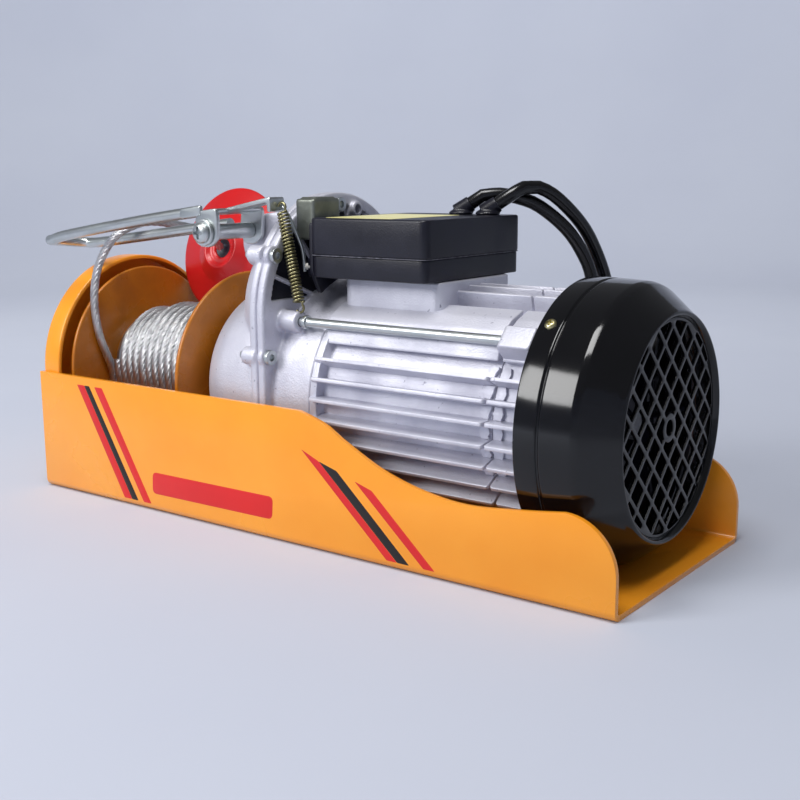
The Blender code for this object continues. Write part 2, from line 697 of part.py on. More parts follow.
def motor_insides():
    gap_radius, outer = 34 * MM, BORE_RADIUS - MM
    rotor, shaft = gap_radius - 0.5 * MM, 12.3 * MM
    turned("stator_core", [(240, gap_radius), (240, outer), (326, outer), (326, gap_radius)], STEEL, steps=24)
    turned("stator_winding_front", [
        (226, 0.037), (226, 0.048), (231, 0.0505), (239.6, 0.0505), (239.6, 0.036),
    ], COPPER, steps=14)
    turned("stator_winding_rear", [
        (326.4, 0.036), (326.4, 0.0505), (336, 0.0505), (341, 0.048), (341, 0.037),
    ], COPPER, steps=14)
    turned("rotor_core", [(238, shaft), (238, rotor), (328, rotor), (328, shaft)], STEEL, steps=20)


# Terminal box and switch
BOX_LOW = (213, -47.5, 148)
BOX_HIGH = (293, 47.5, 181)
BOX_SEAM_Z = 160
BOX_WALL = 2.5


def hollow_box(name, low, high, room_low, room_high, finish, bevel):
    case = box(name, place(*low), place(*high), finish, bevel * MM)
    return cut(case, box(name + "_room", place(*room_low), place(*room_high)))


def terminal_box():
    (x0, y0, z0), (x1, y1, z1), wall, seam = BOX_LOW, BOX_HIGH, BOX_WALL, BOX_SEAM_Z
    low_corner, high_corner = (x0 + wall, y0 + wall), (x1 - wall, y1 - wall)
    low_room = (*low_corner, z0 + wall), (*high_corner, z1)
    hollow_box("terminal_box", BOX_LOW, (x1, y1, seam), *low_room, BLACK_PLASTIC, 2)
    high_room = (*low_corner, seam - 5), (*high_corner, z1 - wall)
    lid = hollow_box("terminal_box_lid", (x0, y0, seam + 0.3), BOX_HIGH, *high_room, BLACK_PLASTIC, 2)
    for i, x in enumerate(GLAND_STATIONS):
        ends = place(x, GLAND_Y, z1 - 8), place(x, GLAND_Y, z1 + 8)
        cut(lid, cylinder(f"gland_hole_{i}", *ends, GLAND_STEM_RADIUS + GAP, sides=10))
    along_x("run_capacitor", 222, 284, -18, 170, 8 * MM, WHITE_NYLON, 16)


GLAND_Y = 36
GLAND_STATIONS = (259, 277.5)
GLAND_TILT = Vector((0.72, 0.42, 0.55)).normalized()
GLAND_NECK = 2.5 * MM
GLAND_NOSE = 7 * MM
GLAND_STEM_RADIUS = 6 * MM


def cable_gland(name, x):
    """Low rubber cone in the lid that turns the cable towards the fan end."""
    seat, radius = place(x, GLAND_Y, BOX_HIGH[2]), GLAND_STEM_RADIUS
    neck = seat + GLAND_NECK * WORLD_UP
    stem = cylinder(name, seat - 7 * MM * WORLD_UP, seat + 2 * MM * WORLD_UP, radius, BLACK_PLASTIC, 10)
    collar = cylinder(name + "_collar", seat + GAP * WORLD_UP, neck, 8 * MM, sides=10, end_radius=radius)
    nose = cylinder(name + "_nose", neck, gland_mouth(x), 5.4 * MM, sides=10, end_radius=5 * MM)
    return fuse(stem, collar, nose)


def gland_mouth(x):
    return place(x, GLAND_Y, BOX_HIGH[2]) + GLAND_NECK * WORLD_UP + GLAND_NOSE * GLAND_TILT


def limit_switch():
    """Cast switch block on the gear case, beside the lever's arm."""
    return box("limit_switch", place(194.3, -38, 168), place(209, -14, 192), CAST_ALUMINIUM, 1.5 * MM)


PLUNGER_YZ = (-38, 153)
PLUNGER_RADIUS = 1.9 * MM


def wiring_neck():
    """Black moulding between the switch and the terminal box, with the plunger's bore."""
    neck = box("wiring_neck", place(210, -44, 151), place(212.7, 40, 178), BLACK_PLASTIC)
    lower = box("neck_lower", place(205, -40, 147), place(212.7, 36, 158))
    bore = along_x("plunger_bore", 202, 211, *PLUNGER_YZ, PLUNGER_RADIUS + GAP)
    return cut(fuse(neck, lower), bore)


# Rope limit lever
# Outlines of the bracket's sheets and the path of its wire finger, in mm from the pivot
EAR = [(-9, -2), (-5, -8), (3, -8.5), (9, -4), (10, 8), (9, 14), (-7, 12)]
WEB = [(-7, 9.2), (9, 11.2), (9, 14), (-7, 12)]
ARM = [(6, 11), (39.5, 17.5), (39.5, 12), (42.1, 12), (42.1, 20.6), (6, 13.6)]
FINGER = [(33, -46, 17.5), (42, -45, 14), (47.5, -42.5, 3), (50.6, -39, -10), (51.2, -38, -22)]
EAR_OUTER_Y = (-66, -63)
EAR_INNER_Y = (-29, -26)


def from_pivot(x, y, z):
    """World point from an X and Z in mm off the lever's pivot, and a Y in mm."""
    return place(LEVER_PIVOT[0] + x, y, LEVER_PIVOT[1] + z)


def lever_sheet(name, outline, low_y, high_y, finish=None):
    points = [from_pivot(x, 0, z) for x, z in outline]
    return prism(name, [[(p.x, p.z) for p in points]], low_y * MM, high_y * MM, "Y", finish)


def limit_lever_bracket():
    """Folded strip: two ears on the pivot screw, a web across the top and an arm to the spring."""
    ears = [lever_sheet(name, EAR, *reach, finish) for name, reach, finish in (
        ("limit_lever_bracket", EAR_OUTER_Y, ZINC), ("inner_ear", EAR_INNER_Y, None))]
    web = lever_sheet("bracket_web", WEB, -64, -28)
    arm = lever_sheet("spring_arm", ARM, -56, -44)
    finger = bar("switch_finger", smooth_path([from_pivot(*point) for point in FINGER], 8 * MM), 1.1 * MM)
    hole = cylinder("pivot_hole", from_pivot(0, -70, 0), from_pivot(0, -20, 0), SCREW_HOLE_RADIUS)
    return cut(fuse(ears[0], ears[1], web, arm, finger), hole)


def limit_lever_loop():
    """Rod bent to a long closed loop, its legs ending beside the bracket's ears."""
    outer, inner = -62.2, -31.0
    middle, half = (outer + inner) / 2, (inner - outer) / 2
    bend = []
    for quarter in range(5):
        turn = math.pi * quarter / 4
        side, drop = math.cos(turn), 8 * math.sin(turn)
        bend.append(place(3 - drop, middle - half * side, 161.7 + 1.6 * side))
    near_leg = [from_pivot(-8.4, outer, 11.9), place(90, outer, 177.4), place(20, outer, 167.2)]
    far_leg = [place(20, inner, 161.5), place(90, inner, 170), from_pivot(-14, inner, 3.6)]
    return tube("limit_lever_loop", near_leg + bend + far_leg, LOOP_ROD_RADIUS, ZINC, 2)


def lever_pivot_screw():
    """Shouldered screw that the lever turns on, held in the gear case's lug."""
    screw = cylinder("lever_pivot_screw", from_pivot(0, -69, 0), from_pivot(0, -17, 0), 2.5 * MM, ZINC, 12)
    head = cylinder("pivot_head", from_pivot(0, -72, 0), from_pivot(0, -68.4, 0), 6.3 * MM, sides=14)
    washer = cylinder("pivot_washer", from_pivot(0, -68.6, 0), from_pivot(0, -66.3, 0), 7.6 * MM, sides=14)
    return fuse(screw, head, washer)


SPRING_TOP = place(195.5, -50, 187)
SPRING_FOOT = place(208.5, -51, 130.4)


def lever_spring():
    """Closely wound extension spring between the lever's arm and the tie-rod boss."""
    along = (SPRING_FOOT - SPRING_TOP).normalized()
    side = along.cross(Vector((0, 1, 0))).normalized()
    front = along.cross(side)
    lead = 3 * MM
    length = (SPRING_FOOT - SPRING_TOP).length - 2 * lead
    points = []
    for i in range(SPRING_CURLS * SPRING_POINTS + 1):
        turn = math.tau * i / SPRING_POINTS
        reach = lead + length * i / (SPRING_CURLS * SPRING_POINTS)
        around = side * math.cos(turn) + front * math.sin(turn)
        points.append(SPRING_TOP + along * reach + SPRING_RADIUS * around)
    tail = 2 * SPRING_WIRE
    points = [points[0] - along * tail, *points, points[-1] + along * tail]
    report_gap("lever_spring", points, 2 * SPRING_WIRE, SPRING_POINTS // 2)
    return tube("lever_spring", points, SPRING_WIRE, YELLOW_ZINC, 1)


# Rope end: free rope, limit weight, hook
WEIGHT_CENTRE = place(61.7, 33.9, 155)
WEIGHT_RADIUS = 44.5 * MM
WEIGHT_FACE = Vector((0.02, -0.966, 0.258)).normalized()
HOOK_DOWN = Vector((0.10, 0.46, -0.88)).normalized()
HOOK_SIDE = HOOK_DOWN.cross(Vector((0, 1, 0))).normalized()
HOOK_TOP = WEIGHT_CENTRE - 9 * MM * WEIGHT_FACE
BOWL_RADIUS = 15
LATCH_PIVOT = (24, 4.6)
ROPE_ROUTE = [
    (24.5, 0, 42.2), (24.5, -20, 47.6), (24.5, -33, 61), (24.5, -36.6, 78), (24.3, -45, 100),
    (24.6, -48, 124), (31, -48, 147), (45, -46, 165), (54, -38.5, 172.3), (61.5, -28, 175.2),
    (65.5, -10, 172.5), (66, 8, 168.5), (64.2, 22, 162), (61.9, 32.5, 155.6),
]


def rope_free():
    path = smooth_path([place(*point) for point in ROPE_ROUTE], 16.5 * MM)
    length = sum((b - a).length for a, b in zip(path, path[1:]))
    print(f"rope_free: {length / MM:.0f} mm")
    return tube("rope_free", path, ROPE_RADIUS, ROPE_WIRE, 2)


def limit_weight():
    """Dished red disc with a hub, standing behind the drum at the end of the rope."""
    hole, neck, edge = 6.5 * MM, 24 * MM, WEIGHT_RADIUS
    disc = turned("limit_weight", [
        (0, hole), (0, 0.011), (3, 0.0135), (-3.5, neck), (-9, edge),
        (-12, edge), (-7.5, neck), (-4, 0.0115), (-6, hole),
    ], RED_PAINT, 0, 22)
    disc.location = WEIGHT_CENTRE
    disc.rotation_mode = "QUATERNION"
    disc.rotation_quaternion = WEIGHT_FACE.to_track_quat("Z", "Y")
    # The profile's stations count from the frame's end, so the mesh is shifted back to the disc's own centre
    disc.data.transform(Matrix.Translation((0, 0, FRAME_LENGTH / 2)))
    return disc


def hook_point(down, side):
    return HOOK_TOP + HOOK_DOWN * down * MM + HOOK_SIDE * side * MM


def hook():
    """Forged hook: a shank below the weight, opening into a bowl that tapers to its tip."""
    turns = [math.radians(30 * i - 20) for i in range(8)]
    bowl = [hook_point(50 + BOWL_RADIUS * math.sin(t), -BOWL_RADIUS * math.cos(t)) for t in turns]
    path = [hook_point(8, 0), hook_point(20, 0), hook_point(32, -7), *bowl]
    radii = [0.9, 0.9, 1, 1.05, 1.15, 1.2, 1.2, 1.1, 1, 0.85, 0.6]
    return tube("hook", path, 5 * MM, STEEL, 2, radii)


def hook_latch():
    """Sprung sheet tongue that closes the hook's mouth."""
    tongue = box("hook_latch", (-1.2 * MM, -3.5 * MM, 0), (0.6 * MM, 3.5 * MM, 18 * MM), ZINC)
    turn = Matrix((HOOK_SIDE, HOOK_DOWN.cross(HOOK_SIDE), HOOK_DOWN)).transposed().to_4x4()
    lean = Matrix.Rotation(math.radians(18), 4, "Y")
    tongue.matrix_world = Matrix.Translation(hook_point(*LATCH_PIVOT)) @ turn @ lean
    return tongue


# Cables, handset and plug
PENDANT_ROUTE = [
    (278, 48.5, 192.5), (286, 54.5, 190.6), (296, 62, 185.8), (308.5, 72, 173), (316, 79, 159), (320, 85, 143),
    (322, 89, 112), (319, 90, 76), (307, 90, 40), (282, 88, 14), (255, 87, 6), (230, 92, 6), (210, 103, 6),
]
MAINS_ROUTE = [
    (293, 50, 196.3), (297, 57, 196.9), (305, 67, 190.7), (314, 82, 174.7), (318.5, 94, 156.5), (322, 102, 136),
    (327, 108, 104), (330, 111, 68), (330, 110, 38), (326, 104, 15),
]
CABLE_LEAD = 24 * MM
PENDANT_COIL = (place(160, 165, 0), 53 * MM, 1.25)
MAINS_COIL = (place(282, 150, 0), 49 * MM, 1.375)


def cable_coil(name, centre, outer, turns):
    """Two layers of cable: in along the lower one, up in half a turn, out along the upper one."""
    total = 2 * turns + 0.5
    start = -math.pi / 2
    points = []
    for i in range(round(total * COIL_POINTS) + 1):
        turn = i / COIL_POINTS
        climb = min(1, max(0, (turn - turns) / 0.5))
        inward = turns + 0.25 - abs(turn - turns - 0.25)
        angle = start - math.tau * turn
        radius = outer - COIL_STEP * inward
        height = COIL_LOW_Z + COIL_STEP * climb * climb * (3 - 2 * climb)
        points.append(centre + Vector((radius * math.cos(angle), radius * math.sin(angle), height)))
    points.insert(0, points[0] - 2 * CABLE_RADIUS * Vector((math.sin(start), -math.cos(start), 0)))
    points.append(points[-1] + CABLE_LEAD * Vector((math.sin(angle), -math.cos(angle), 0)))
    report_gap(name, points, 2 * CABLE_RADIUS, COIL_POINTS // 2)
    length = sum((b - a).length for a, b in zip(points, points[1:]))
    print(f"{name}: {length / MM:.0f} mm")
    tube(name, points, CABLE_RADIUS, CABLE_PVC, 1)
    return points


def cable_run(name, mouth, route, coil_start):
    """Free cable from its gland to the start of its coil, a small gap from both."""
    into = (coil_start[1] - coil_start[0]).normalized()
    end = coil_start[0] - GAP * into
    start = mouth + GAP * GLAND_TILT
    straight = 2 * CABLE_RADIUS
    points = [start + straight * GLAND_TILT, *[place(*point) for point in route]]
    points += [end - CABLE_LEAD * into, end - straight * into]
    path = [start, *smooth_path(points, 20 * MM), end]
    length = sum((b - a).length for a, b in zip(path, path[1:]))
    print(f"{name}: {length / MM:.0f} mm")
    return tube(name, path, CABLE_RADIUS, CABLE_PVC, 2)


def coil_tie(name, centre, outer, turns):
    """Flat strap round the coil's turns, on the side towards the fan end."""
    low, high = 1.4 * MM, COIL_LOW_Z + COIL_STEP + CABLE_RADIUS + 0.4 * MM
    wall = 1.1 * MM
    inner = outer - COIL_STEP * (turns + 0.25)
    near, far = centre.x + inner - CABLE_RADIUS - 0.5 * MM, centre.x + outer + CABLE_RADIUS + 0.9 * MM
    loops = []
    for grow in (wall, 0):
        left, right, under, over = near - grow, far + grow, low - grow, high + grow
        loops.append([(left, under), (right, under), (right, over), (left, over)])
    return prism(name, loops, centre.y - 3 * MM, centre.y + 3 * MM, "Y", BLACK_PLASTIC)


def power_plug(end, along):
    """Moulded plug with a tapered strain relief and two flat pins."""
    start = end + GAP * along
    low, high = start + 23 * MM * along, start + 46 * MM * along
    relief = cylinder("power_plug", start, low + MM * along, 5 * MM, BLACK_PLASTIC, 16, 7.5 * MM)
    body = cylinder("plug_body", low, high, 10 * MM, sides=20, end_radius=13 * MM)
    side = along.cross(WORLD_UP).normalized()
    pins = []
    for i, sign in enumerate((-1, 1)):
        middle = start + 53 * MM * along + sign * 6 * MM * side
        pin = box(f"plug_pin_{i}", (-9 * MM, -0.8 * MM, -3.2 * MM), (9 * MM, 0.8 * MM, 3.2 * MM))
        pin.matrix_world = Matrix.Translation(middle) @ Matrix((along, side, WORLD_UP)).transposed().to_4x4()
        pins.append(pin)
    return fuse(relief, body, *pins)


PENDANT_SIZE = (38 * MM, 105 * MM, 28 * MM)
BUTTON_PLACES = {"button_up": (30, 6.5, 3), "button_down": (54, 6.5, 3), "button_stop": (82, 8.5, 5)}


def pendant(end, along):
    """Handset lying on its back: case with strain relief, two push buttons and a stop button."""
    start = end + GAP * along
    side = along.cross(WORLD_UP).normalized()
    frame = Matrix((side, along, WORLD_UP)).transposed().to_4x4()
    width, length, depth = PENDANT_SIZE
    base = start + 26 * MM * along
    corner = Vector((width / 2, length, depth / 2))
    case = box("pendant_case", corner * Vector((-1, 0, -1)), corner, BLACK_PLASTIC, 4 * MM)
    case.matrix_world = Matrix.Translation(base) @ frame
    relief = cylinder("pendant_relief", start, base + 4 * MM * along, 5 * MM, sides=16, end_radius=8 * MM)
    fuse(case, relief)
    for name, (reach, radius, proud) in BUTTON_PLACES.items():
        middle = base + reach * MM * along
        top = middle + depth / 2 * WORLD_UP
        ends = top - 9 * MM * WORLD_UP, top + 5 * MM * WORLD_UP
        cut(case, cylinder(name + "_well", *ends, radius * MM + GAP, sides=12))
        colour = RED_BUTTON if name == "button_stop" else GREEN_BUTTON
        button = cylinder(name, -5 * MM * WORLD_UP, proud * MM * WORLD_UP, radius * MM, colour, 12)
        button.location = top
    return case


def cables():
    for name, x in zip(("pendant_gland", "mains_gland"), GLAND_STATIONS):
        cable_gland(name, x)
    pendant_coil = cable_coil("pendant_cable_coil", *PENDANT_COIL)
    mains_coil = cable_coil("mains_cable_coil", *MAINS_COIL)
    cable_run("pendant_cable", gland_mouth(GLAND_STATIONS[0]), PENDANT_ROUTE, pendant_coil)
    cable_run("mains_cable", gland_mouth(GLAND_STATIONS[1]), MAINS_ROUTE, mains_coil)
    coil_tie("pendant_cable_tie", *PENDANT_COIL)
    coil_tie("mains_cable_tie", *MAINS_COIL)
    power_plug(mains_coil[-1], (mains_coil[-1] - mains_coil[-2]).normalized())
    pendant(pendant_coil[-1], (pendant_coil[-1] - pendant_coil[-2]).normalized())


frame_channel()
drum_end_plate()
bearing("drum_end_bearing", 3, 12.5, SHAFT_RADIUS + GAP, LARGE_BEARING_RADIUS)
rope_drum()
drum_shaft()
rope_inner_layers()
rope_winding()
gear_case_front()
bearing("drum_bearing", 128, 140, SHAFT_RADIUS + GAP, LARGE_BEARING_RADIUS)
bearing("layshaft_front_bearing", 139, 147, LAYSHAFT_RADIUS + GAP, SMALL_BEARING_RADIUS, LAYSHAFT_Z)
layshaft()
gear_case_rear()
bearing("layshaft_rear_bearing", 190.5, 198.5, LAYSHAFT_RADIUS + GAP, SMALL_BEARING_RADIUS, LAYSHAFT_Z)
bearing("motor_front_bearing", 198.4, 209, JOURNAL_RADIUS + GAP, LARGE_BEARING_RADIUS)
for number, (bolt_y, bolt_z) in enumerate(CASE_BOLTS):
    case_bolt(number, bolt_y, bolt_z)
motor_shaft()
motor_housing()
motor_insides()
rear_end_shield()
bearing("motor_rear_bearing", 350.4, 357.6, JOURNAL_RADIUS + GAP, LARGE_BEARING_RADIUS)
for number, (rod_y, rod_z) in enumerate(TIE_RODS):
    tie_rod(number, rod_y, rod_z)
fan_cover()
cooling_fan()
terminal_box()
limit_switch()
wiring_neck()
along_x("switch_plunger", 202.6, 209.5, *PLUNGER_YZ, PLUNGER_RADIUS, WHITE_NYLON, 12)
limit_lever_bracket()
limit_lever_loop()
lever_pivot_screw()
lever_spring()
rope_free()
limit_weight()
hook()
hook_latch()
cables()


# An empty on each joint's axis carries the pieces that move on it
def carry(name, where, *nodes):
    empty = bpy.data.objects.new(name, None)
    empty.location = where
    PARTS.objects.link(empty)
    bpy.context.view_layer.update()
    for node in nodes:
        piece = bpy.data.objects[node]
        piece.parent = empty
        piece.matrix_parent_inverse = empty.matrix_world.inverted()
    return empty


drum_line, layshaft_line = Vector((0, 0, AXIS_Z)), Vector((0, 0, LAYSHAFT_Z))
carry("drum_axis", drum_line, "rope_drum", "drum_shaft", "drum_gear", "rope_inner_layers", "rope_winding")
carry("layshaft_axis", layshaft_line, "layshaft", "layshaft_wheel")
carry("motor_axis", drum_line, "motor_shaft", "rotor_core", "cooling_fan")
carry("lever_axis", from_pivot(0, -45, 0), "limit_lever_bracket", "limit_lever_loop")
latch_axis = carry("latch_axis", hook_point(*LATCH_PIVOT), "hook_latch")
latch_axis.parent = carry("hook_axis", HOOK_TOP, "hook")
latch_axis.matrix_parent_inverse = latch_axis.parent.matrix_world.inverted()
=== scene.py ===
# Looks of a small electric rope hoist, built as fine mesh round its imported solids.
# Sizes are in mm, and stations run along the hoist from the drum end, unless a name says metres.
import math
import random

import bmesh
import bpy
from mathutils import Matrix, Vector


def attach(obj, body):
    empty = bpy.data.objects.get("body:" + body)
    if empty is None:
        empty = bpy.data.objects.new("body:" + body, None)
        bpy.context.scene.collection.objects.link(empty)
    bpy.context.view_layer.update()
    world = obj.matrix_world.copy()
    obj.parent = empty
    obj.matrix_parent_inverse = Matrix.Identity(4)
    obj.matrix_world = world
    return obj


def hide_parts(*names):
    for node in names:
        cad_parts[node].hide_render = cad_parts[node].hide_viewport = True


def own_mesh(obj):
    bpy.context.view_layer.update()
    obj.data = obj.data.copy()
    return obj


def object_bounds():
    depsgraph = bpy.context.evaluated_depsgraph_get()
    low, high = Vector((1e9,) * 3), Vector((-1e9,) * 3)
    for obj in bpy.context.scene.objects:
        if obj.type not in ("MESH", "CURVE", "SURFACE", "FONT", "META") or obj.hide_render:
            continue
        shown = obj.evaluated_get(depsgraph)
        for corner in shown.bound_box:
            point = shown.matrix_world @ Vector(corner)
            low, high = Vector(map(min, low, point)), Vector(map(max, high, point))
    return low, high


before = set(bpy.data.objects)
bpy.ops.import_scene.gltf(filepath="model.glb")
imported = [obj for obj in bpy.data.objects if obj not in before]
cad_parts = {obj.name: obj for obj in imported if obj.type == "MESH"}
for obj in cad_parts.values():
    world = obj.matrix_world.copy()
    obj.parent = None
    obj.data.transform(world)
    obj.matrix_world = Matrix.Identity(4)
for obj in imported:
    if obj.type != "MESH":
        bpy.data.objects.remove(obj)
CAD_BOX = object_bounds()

MM = 0.001
HALF_FRAME = 210
AXIS_Z = 78
LAYSHAFT_Z = 126
UP = Vector((0, 0, 1))

# Drawing planes: how a flat outline's two directions and its thickness lie in the row frame
END_VIEW = Matrix(((0, 0, 1, -HALF_FRAME * MM), (1, 0, 0, 0), (0, 1, 0, 0), (0, 0, 0, 1)))
SIDE_VIEW = Matrix(((1, 0, 0, -HALF_FRAME * MM), (0, 0, 1, 0), (0, 1, 0, 0), (0, 0, 0, 1)))
PLAN_VIEW = Matrix.Translation((-HALF_FRAME * MM, 0, 0))
STANDING = Matrix(((0, 0, 1, 0), (1, 0, 0, 0), (0, 1, 0, 0), (0, 0, 0, 1)))
EDGEWISE = Matrix(((1, 0, 0, 0), (0, 0, 1, 0), (0, 1, 0, 0), (0, 0, 0, 1)))


def place(along, y, z):
    """Point in the row frame from a station, a sideways distance and a height."""
    return Vector((along - HALF_FRAME, y, z)) * MM


MAIN_AXIS = Matrix.Translation(place(0, 0, AXIS_Z))
LAYSHAFT_AXIS = Matrix.Translation(place(0, 0, LAYSHAFT_Z))


def axis_at(point, direction):
    """Placement that puts a turned shape's own line through a point, along a direction."""
    return Matrix.Translation(point) @ Vector(direction).to_track_quat("X", "Z").to_matrix().to_4x4()


# Materials
def linear(code):
    """Linear colour of an sRGB hex value."""
    shares = [int(code[i:i + 2], 16) / 255 for i in (1, 3, 5)]
    return (*(c / 12.92 if c <= 0.04045 else ((c + 0.055) / 1.055) ** 2.4 for c in shares), 1.0)


def add_node(tree, kind, inputs=None, **settings):
    """Add a shader node, set its properties, and set or link its inputs."""
    made = tree.nodes.new("ShaderNode" + kind)
    for key, value in settings.items():
        setattr(made, key, value)
    for key, value in (inputs or {}).items():
        if isinstance(value, bpy.types.NodeSocket):
            tree.links.new(value, made.inputs[key])
        else:
            made.inputs[key].default_value = value
    return made


def surface(name, tones, patch, grain, depth, roughness, marks=None, wires=None, **inputs):
    """A material whose tone and gloss drift from patch to patch, with a fine grain in relief.

    marks is a tone, a size and a share for scattered specks; wires is the count of wires round a
    strand and their lay."""
    made = bpy.data.materials.new(name)
    made.use_nodes = True
    tree = made.node_tree
    shader = tree.nodes["Principled BSDF"]
    spot = add_node(tree, "TexCoord").outputs

    def noise(size, detail):
        sockets = {"Vector": spot["Object"], "Scale": 1 / (size * MM), "Detail": detail}
        return add_node(tree, "TexNoise", sockets).outputs["Fac"]

    drift = noise(patch, 4.0)
    tone = add_node(tree, "ValToRGB", {"Fac": drift})
    ends = tone.color_ramp.elements
    for end, code, share in zip(ends, tones, (0.32, 0.68)):
        end.color, end.position = linear(code), share
    colour = tone.outputs["Color"]
    if marks:
        code, size, share = marks
        cover = add_node(tree, "MapRange", {
            "Value": noise(size, 6.0), "From Min": 0.68 - share, "From Max": 0.74 - share,
        })
        colour = add_node(tree, "MixRGB", {
            "Fac": cover.outputs["Result"], "Color1": colour, "Color2": linear(code),
        }).outputs["Color"]
    gloss = add_node(tree, "MapRange", {
        "Value": drift, "From Min": 0.3, "From Max": 0.7,
        "To Min": roughness[0], "To Max": roughness[1],
    })
    height = noise(grain, 3.0)
    if wires:
        count, lay = wires
        laid = add_node(tree, "Mapping", {
            "Vector": spot["UV"], "Scale": (count * math.tau / 10, math.tau / (10 * lay * MM), 0.0),
        })
        bands = add_node(tree, "TexWave", {"Vector": laid.outputs["Vector"], "Scale": 1.0},
                         bands_direction="DIAGONAL")
        height = bands.outputs["Fac"]
    bump = add_node(tree, "Bump", {"Height": height, "Strength": 1.0, "Distance": depth * MM})
    tree.links.new(colour, shader.inputs["Base Color"])
    tree.links.new(gloss.outputs["Result"], shader.inputs["Roughness"])
    tree.links.new(bump.outputs["Normal"], shader.inputs["Normal"])
    for key, value in inputs.items():
        shader.inputs[key.replace("_", " ")].default_value = value
    return made


FINISHES = {
    # Baked enamel on sheet steel: even strong colour, soft gloss and a faint orange peel
    "orange_paint": surface("orange_enamel", ("#F9A229", "#F4981D"), 60, 2.2, 0.012, (0.26, 0.34),
                            IOR=1.5, Coat_Weight=0.25, Coat_Roughness=0.12),
    # The same enamel in red, on the weight
    "red_paint": surface("red_enamel", ("#C8171A", "#BA1417"), 40, 2.0, 0.012, (0.26, 0.36), IOR=1.5),
    # Sand-cast aluminium: pale lilac grey, grainy and dull, with dark pits in the skin
    "cast_aluminium": surface("sand_cast_aluminium", ("#D9D9E3", "#C6C6D2"), 22, 1.0, 0.25, (0.46, 0.6),
                              marks=("#9A9AA8", 3.0, 0.0), Metallic=0.5),
    # Bright zinc plate: silver with a greenish cast that comes and goes, half mirror
    "zinc_plate": surface("bright_zinc_plate", ("#CFD3D3", "#BAC0C0"), 20, 0.7, 0.006, (0.28, 0.4),
                          Metallic=1.0),
    # Yellow chromated zinc on spring wire: dull straw metal
    "yellow_zinc": surface("yellow_zinc_plate", ("#A09A76", "#7A7452"), 5, 0.5, 0.006, (0.28, 0.42),
                           Metallic=1.0),
    # Ground and turned steel, faintly oiled
    "steel": surface("turned_steel", ("#A7A8AB", "#8B8C90"), 14, 0.6, 0.008, (0.28, 0.42), Metallic=1.0),
    # Galvanised wire rope: bright wires laid in strands, grey between them
    "rope_wire": surface("galvanised_wire", ("#E2E3E4", "#BFC1C4"), 6, 0.5, 0.09, (0.3, 0.42),
                         wires=(42, 4.5), Metallic=1.0),
    # Enamelled copper under varnish: brown red and glassy
    "copper_winding": surface("varnished_copper", ("#A2542A", "#7C3A1A"), 7, 1.1, 0.15, (0.2, 0.34),
                              Metallic=0.8),
    # Gloss black paint on the pressed cover: deep black with sharp reflections
    "black_gloss_paint": surface("gloss_black_paint", ("#08080A", "#0C0C0F"), 50, 3.0, 0.01, (0.07, 0.14),
                                 IOR=1.48),
    # Glass-filled nylon moulding: black going grey, with a dull fine grain
    "black_plastic": surface("glass_filled_nylon", ("#0C0C18", "#151524"), 25, 0.8, 0.1, (0.3, 0.48),
                             marks=("#2E2D39", 7.0, -0.03), IOR=1.48),
    # Soft PVC sheath: black with a smooth waxy shine
    "cable_pvc": surface("pvc_sheath", ("#08080A", "#0E0E11"), 30, 1.4, 0.01, (0.17, 0.24), IOR=1.53),
    # White nylon: bone white, a little clouded
    "white_nylon": surface("white_nylon", ("#E6E4DC", "#D8D5CA"), 12, 1.0, 0.01, (0.38, 0.48), IOR=1.53),
    # ABS push buttons: clean colour, satin
    "green_button": surface("green_abs", ("#1E8F3C", "#1A8236"), 10, 1.0, 0.01, (0.3, 0.38), IOR=1.53),
    "red_button": surface("red_abs", ("#C8201E", "#B91B1A"), 10, 1.0, 0.01, (0.3, 0.38), IOR=1.53),
}
# Zinc die casting of the switch block: darker than the gear case, with a green grey skin
DIE_CAST_ZINC = surface("die_cast_zinc", ("#8F938A", "#777B74"), 12, 0.8, 0.04, (0.38, 0.5), Metallic=0.9)
# The enamel of the drum, darkened with painted shade for the shadow on the drum and its flanges
SHADED_DRUM_ENAMEL = surface("drum_enamel_painted_shade", ("#C4761D", "#B06818"), 18, 1.5, 0.02, (0.22, 0.34), IOR=1.5)
# The nylon's moulding flash, scuffed pale grey along the lid's edge
SCUFFED_NYLON = surface("scuffed_nylon", ("#6E6E78", "#2C2B34"), 4, 0.6, 0.03, (0.5, 0.62), IOR=1.48)
# Vinyl film: flat colour with a soft shine, thin as paint
RED_FILM = surface("red_vinyl_film", ("#DC1F1E", "#D21A1B"), 40, 2.0, 0.006, (0.3, 0.38), IOR=1.5)
BLACK_FILM = surface("black_vinyl_film", ("#0F0B0A", "#150F0D"), 40, 2.0, 0.006, (0.34, 0.42), IOR=1.5)
YELLOW_FILM = surface("yellow_vinyl_film", ("#E6DF9E", "#D9D187"), 25, 2.0, 0.006, (0.34, 0.42), IOR=1.5)
BRASS = surface("brass_plate", ("#D6CFA2", "#B8AF80"), 6, 0.6, 0.006, (0.24, 0.36), Metallic=1.0)


# Mesh tools
def finished(shape):
    """Weld an edit mesh, turn its faces outward and hand it over."""
    bmesh.ops.remove_doubles(shape, verts=shape.verts, dist=1e-6)
    bmesh.ops.dissolve_degenerate(shape, dist=1e-7, edges=shape.edges)
    shape.normal_update()
    bmesh.ops.recalc_face_normals(shape, faces=shape.faces)
    mesh = bpy.data.meshes.new("work")
    shape.to_mesh(mesh)
    shape.free()
    return mesh


def joined(*meshes):
    """Several closed shapes in one mesh."""
    shape = bmesh.new()
    for mesh in meshes:
        shape.from_mesh(mesh)
    result = bpy.data.meshes.new("work")
    shape.to_mesh(result)
    shape.free()
    return result


